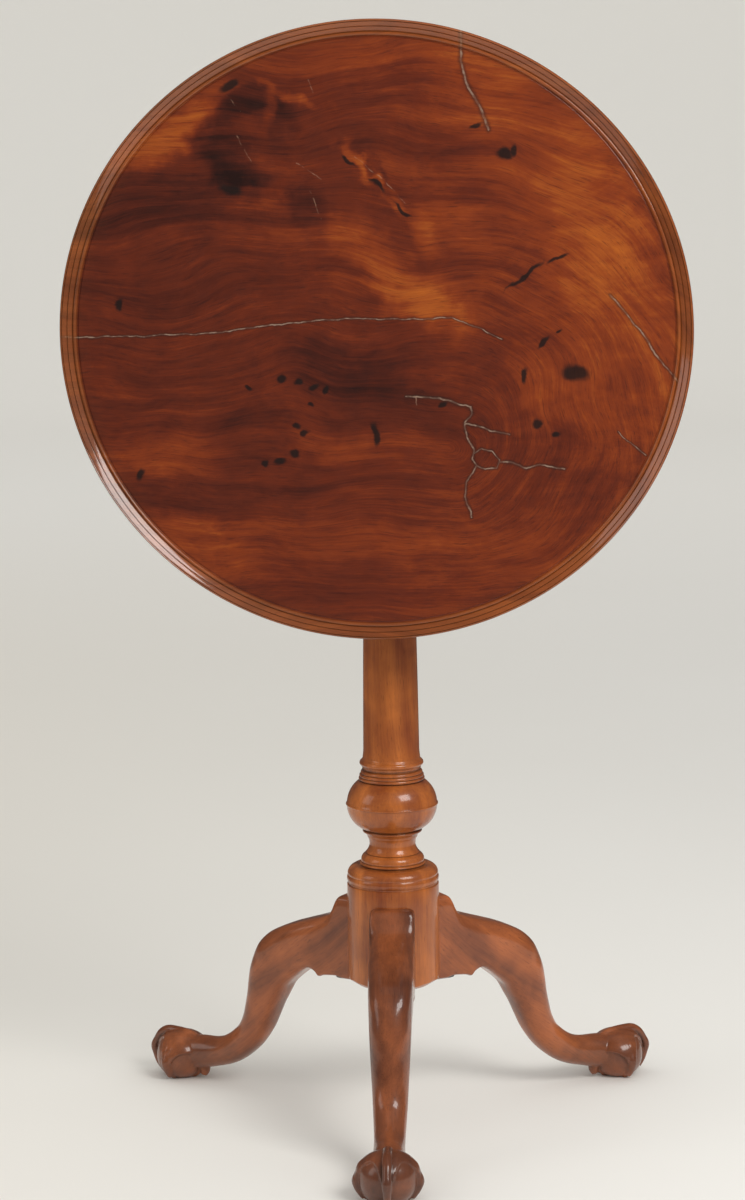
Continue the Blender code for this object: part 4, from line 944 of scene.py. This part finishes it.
def carved_leg(name):
    place = FEET[name]
    shape = foot()
    bmesh.ops.scale(shape, vec=(1.0, FOOT_BREADTH, 1.0), verts=shape.verts)
    bmesh.ops.translate(shape, vec=(FOOT_DISTANCE, 0.0, 0.0), verts=shape.verts)
    merged(shape, leg_shaft())
    shape = fused(shape, 0.00080, 2)
    whole = shape.verts[:] + shape.edges[:] + shape.faces[:]
    cut = bmesh.ops.bisect_plane(
        shape, geom=whole, plane_co=(0, 0, 0), plane_no=(0, 0, -1), clear_outer=True,
    )
    rim = [item for item in cut["geom_cut"] if isinstance(item, bmesh.types.BMEdge)]
    bmesh.ops.contextual_create(shape, geom=rim)
    angle = math.atan2(place.y, place.x)
    stand_there = Matrix.Translation(AXIS) @ Matrix.Rotation(angle, 4, "Z")
    bmesh.ops.transform(shape, matrix=stand_there, verts=shape.verts)
    along_leg = Matrix.Rotation(math.radians(LEG_SLANT), 3, "Y") @ Matrix.Rotation(-angle, 3, "Z")
    wood = polished_mahogany(
        f"carved_mahogany_{name}", *LEG_TONES_LIT_AND_SHADED[name],
        turn=tuple(along_leg.to_euler()), band=0.024, waviness=0.010, dirt_and_shade=0.90, crevice=0.0080,
    )
    return piece(f"carved_{name}", shape, wood, "stand", [name], 60.0)


# The birdcage and the metalwork -------------------------------------------------------------------
BOARD_THICKNESS = 0.0190


def colonnette(name, wood):
    """A small turned vase that stands between the boards, with a pin through each of them."""
    low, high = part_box(name)
    bottom, rise = low.z + BOARD_THICKNESS, high.z - low.z - 2 * BOARD_THICKNESS
    marks = [(0.0, high.z), (0.0044, high.z), (0.0050, high.z - 0.0006), (0.0050, bottom + rise)]
    for radius, share, bulge in (
        (0.0085, 1.0, 0.0), (0.0085, 0.935, 0.0), (0.0070, 0.925, 0.0), (0.0060, 0.900, -0.0004),
        (0.0052, 0.820, -0.0002), (0.0056, 0.660, -0.0002), (0.0082, 0.460, -0.0002),
        (0.0104, 0.320, 0.0005),
        (0.0096, 0.215, 0.0004), (0.0062, 0.135, 0.0007), (0.0060, 0.110, -0.0001), (0.0074, 0.105, 0.0),
        (0.0088, 0.070, 0.0005), (0.0088, 0.0, 0.0),
    ):
        marks.append((radius, bottom + rise * share, bulge))
    marks += [(0.0050, bottom), (0.0050, low.z + 0.0006), (0.0044, low.z), (0.0, low.z)]
    shape = lathe(rounded(marks, 6), 72)
    bmesh.ops.translate(shape, vec=((low.x + high.x) / 2, (low.y + high.y) / 2, 0.0), verts=shape.verts)
    piece(f"turned_{name}", shape, wood, "birdcage", [name], 30.0)


def turning_collar(wood):
    """The turned ring that the birdcage's key bears on, bored for the pillar."""
    low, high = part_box("turning_collar")
    outer = (high.x - low.x) / 2
    bore = 0.0173
    marks = [
        (bore, high.z), (outer - 0.0046, high.z), (outer - 0.0012, high.z - 0.0020, 0.0006),
        (outer - 0.0014, high.z - 0.0038, 0.0003), (outer - 0.0030, high.z - 0.0046, -0.0003),
        (outer - 0.0030, high.z - 0.0050), (outer, high.z - 0.0080, 0.0006), (outer, low.z + 0.0006),
        (outer - 0.0006, low.z), (bore, low.z), (bore, high.z),
    ]
    shape = lathe(rounded(marks, 6), 96)
    bmesh.ops.translate(shape, vec=AXIS, verts=shape.verts)
    body = nodes["turning_collar"]["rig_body"]
    piece("turned_collar", shape, wood, body, ["turning_collar"], 30.0)


def catch_spring(metal):
    """A coil of round wire behind the catch's bolt, at one fixed length: it does not shorten as the bolt is
    drawn back.
    """
    low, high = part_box("catch_spring")
    wire, turns, steps = 0.0004, 5, 40
    coil = high.x - wire
    shape = bmesh.new()
    bmesh.ops.create_circle(shape, segments=14, radius=wire)
    set_up = Matrix.Translation((coil, 0.0, low.z + wire)) @ Matrix.Rotation(math.pi / 2, 4, "X")
    bmesh.ops.transform(shape, matrix=set_up, verts=shape.verts)
    climb = (high.z - low.z - 2 * wire) / (turns * steps)
    bmesh.ops.spin(
        shape, geom=shape.verts[:] + shape.edges[:], cent=(0, 0, 0), axis=(0, 0, 1), dvec=(0, 0, climb),
        angle=2 * math.pi * turns, steps=turns * steps, use_merge=False,
    )
    ends = [edge for edge in shape.edges if edge.is_boundary]
    bmesh.ops.holes_fill(shape, edges=ends, sides=14)
    bmesh.ops.translate(shape, vec=(0.0, (low.y + high.y) / 2, 0.0), verts=shape.verts)
    made = piece("coil_spring", shape, metal, "top", ["catch_spring"])
    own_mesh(made)


def old_metal(name, dull, bright, stain, roughness, metallic, pitting):
    """Metal gone dull: rubbed bright on its edges and stained where it was never touched."""
    made, tree, shader, place = new_material(name, roughness, metallic=metallic)
    wear_and_shade = tree.use("handled_and_shaded_surface", {"Vector": place, "Crevice Size": 0.0015})
    spots = tree.span(tree.noise(place, 420.0, 4.0, 0.65), 0.46, 0.66)
    scale = tree.noise(place, 1300.0, 2.0)
    colour = tree.blend(wear_and_shade["Smudges"], (*dull, 1.0), (*bright, 1.0))
    colour = tree.tint(colour, wear_and_shade["Edges"], 0.6, bright)
    colour = tree.tint(colour, spots, 0.55, stain)
    colour = tree.tint(colour, wear_and_shade["Crevices"], 0.7, toned(stain, 0.4))
    rough = tree.math("MULTIPLY_ADD", scale, 0.16, roughness - 0.08)
    rough = tree.math("MULTIPLY_ADD", spots, 0.22, rough)
    height = tree.math("MULTIPLY_ADD", scale, 0.5, spots)
    finish_shader(tree, shader, colour, rough, height, pitting)
    return made


# Each metal's dull, bright and stained colour, its roughness, how metallic it is, and how deep its pits are.
OLD_METALS = {
    "aged_brass": ((0.30, 0.19, 0.07), (0.62, 0.43, 0.17), (0.09, 0.06, 0.03), 0.38, 1.0, 0.00006),
    "wrought_iron": ((0.050, 0.046, 0.043), (0.14, 0.13, 0.12), (0.085, 0.036, 0.018), 0.62, 0.85, 0.00025),
    "old_screw_steel": ((0.16, 0.15, 0.14), (0.36, 0.34, 0.31), (0.10, 0.048, 0.025), 0.45, 0.95, 0.00008),
}


def plain_work():
    """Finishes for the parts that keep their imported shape, and the small turned parts."""
    dark, light = (0.085, 0.026, 0.011), (0.260, 0.092, 0.034)
    along_x = (0.0, math.radians(90.0), 0.0)
    upright = polished_mahogany("plain_mahogany_upright", dark, light, band=0.012, coat=0.30)
    lying = polished_mahogany("plain_mahogany_lying", dark, light, along_x, band=0.012, coat=0.30)
    finishes = {name: old_metal(name, *look) for name, look in OLD_METALS.items()}
    for row in frame["record"]["subparts"]:
        name, slot = row["node"], row["material_slot"]
        if name.startswith("colonnette"):
            colonnette(name, upright)
        elif name == "turning_collar":
            turning_collar(upright)
        elif name == "catch_spring":
            catch_spring(finishes[slot])
        elif slot in finishes or slot == "plain_mahogany":
            finish = finishes.get(slot) or (upright if name.startswith("cleat") else lying)
            nodes[name].data.materials.clear()
            nodes[name].data.materials.append(finish)


dished_top()
turned_pillar()
for leg_name in FEET:
    carved_leg(leg_name)
plain_work()


# Stage, lights and camera -------------------------------------------------------------------------
def paper_with_painted_light_and_shade():
    made, tree, shader, place = new_material("backdrop_paper", 0.9, specular=0.1)
    mottle = tree.noise(place, 1.2, 2.0)
    colour = tree.ramp(mottle, [(0.3, (0.790, 0.782, 0.755)), (0.7, (0.805, 0.799, 0.775))])
    sides = tree.add("ShaderNodeSeparateXYZ", {0: place}).outputs
    # Painted shade: the paper is darker and warmer towards the left.
    colour = tree.blend(tree.span(sides["X"], 0.6, -1.6), colour, (0.780, 0.752, 0.690, 1.0))
    reach = tree.vector("LENGTH", tree.stretch(place, (1.0, 1.0, 0.0)))
    # Painted light: the paper grows paler with distance, so the far wall looks brightly lit.
    colour = tree.blend(tree.span(reach, 1.4, 5.6), colour, (0.93, 0.92, 0.89, 1.0))
    tree.tree.links.new(colour, shader.inputs["Base Color"])
    return made


def backdrop():
    """A pale floor that curves up into a wall far from the object on every side."""
    paper = paper_with_painted_light_and_shade()
    inner, outer = 1.3, 9.0
    for name, marks in (
        ("floor", [(0.0, 0.0), (0.6, 0.0), (inner, 0.0)]),
        ("surround", [(inner, 0.0), (7.0, 0.0), (outer, 2.0, -0.5858), (outer, 3.2)]),
    ):
        shape = lathe(rounded(marks, 16), 96)
        mesh = bpy.data.meshes.new(name)
        shape.to_mesh(mesh)
        shape.free()
        mesh.shade_smooth()
        mesh.materials.append(paper)
        made = bpy.data.objects.new(name, mesh)
        bpy.context.scene.collection.objects.link(made)
        made.visible_glossy = name == "floor"


def soft_box(name, place, aim, size, power, colour=(1.0, 0.98, 0.95)):
    lamp = bpy.data.lights.new(name, "AREA")
    lamp.shape = "RECTANGLE"
    lamp.size, lamp.size_y = size
    lamp.energy = power
    lamp.color = colour
    made = bpy.data.objects.new(name, lamp)
    made.location = place
    made.rotation_euler = (Vector(aim) - Vector(place)).to_track_quat("-Z", "Y").to_euler()
    made.visible_camera = False
    bpy.context.scene.collection.objects.link(made)


def studio_air():
    """Even light from all round, which polished surfaces see only dimly."""
    world = bpy.data.worlds.new("studio")
    bpy.context.scene.world = world
    world.use_nodes = True
    tree = Tree(world.node_tree)
    background = world.node_tree.nodes["Background"]
    background.inputs["Color"].default_value = (1.0, 0.985, 0.955, 1.0)
    glossy = tree.add("ShaderNodeLightPath").outputs["Is Glossy Ray"]
    tree.tree.links.new(tree.math("MULTIPLY_ADD", glossy, -0.65, 0.725), background.inputs["Strength"])


CAMERA_DISTANCE = 3.0
CAMERA_HEIGHT = 0.9698
CAMERA_ASIDE = -0.0161
CAMERA_AZIMUTH = 6.6              # degrees to the right of straight in front
CAMERA_DIP = 8.731
CAMERA_ROLL = -0.796
CAMERA_LENS = 95.13


def camera():
    lens = bpy.data.cameras.new("camera")
    lens.sensor_width = 36.0
    lens.lens = CAMERA_LENS
    lens.clip_end = 50.0
    made = bpy.data.objects.new("camera", lens)
    round_axis = Matrix.Translation(AXIS) @ Matrix.Rotation(math.radians(CAMERA_AZIMUTH), 4, "Z")
    stand = Matrix.Translation((CAMERA_ASIDE, -CAMERA_DISTANCE, CAMERA_HEIGHT))
    tilt = Matrix.Rotation(math.radians(90.0 - CAMERA_DIP), 4, "X")
    roll = Matrix.Rotation(math.radians(CAMERA_ROLL), 4, "Z")
    made.matrix_world = round_axis @ stand @ tilt @ roll
    bpy.context.scene.collection.objects.link(made)
    bpy.context.scene.camera = made


backdrop()
soft_box("key", (1.45, -1.31, 1.98), (0.0, 0.06, 0.45), (1.2, 1.0), 35.0)
soft_box("fill", (-2.6, -1.2, 1.6), (0.0, 0.0, 0.4), (1.2, 1.8), 11.0)
soft_box("overhead", (0.0, 0.4, 3.6), (0.0, 0.0, 0.0), (2.6, 2.6), 4.0)
studio_air()
camera()
bpy.context.scene.view_settings.view_transform = "Standard"
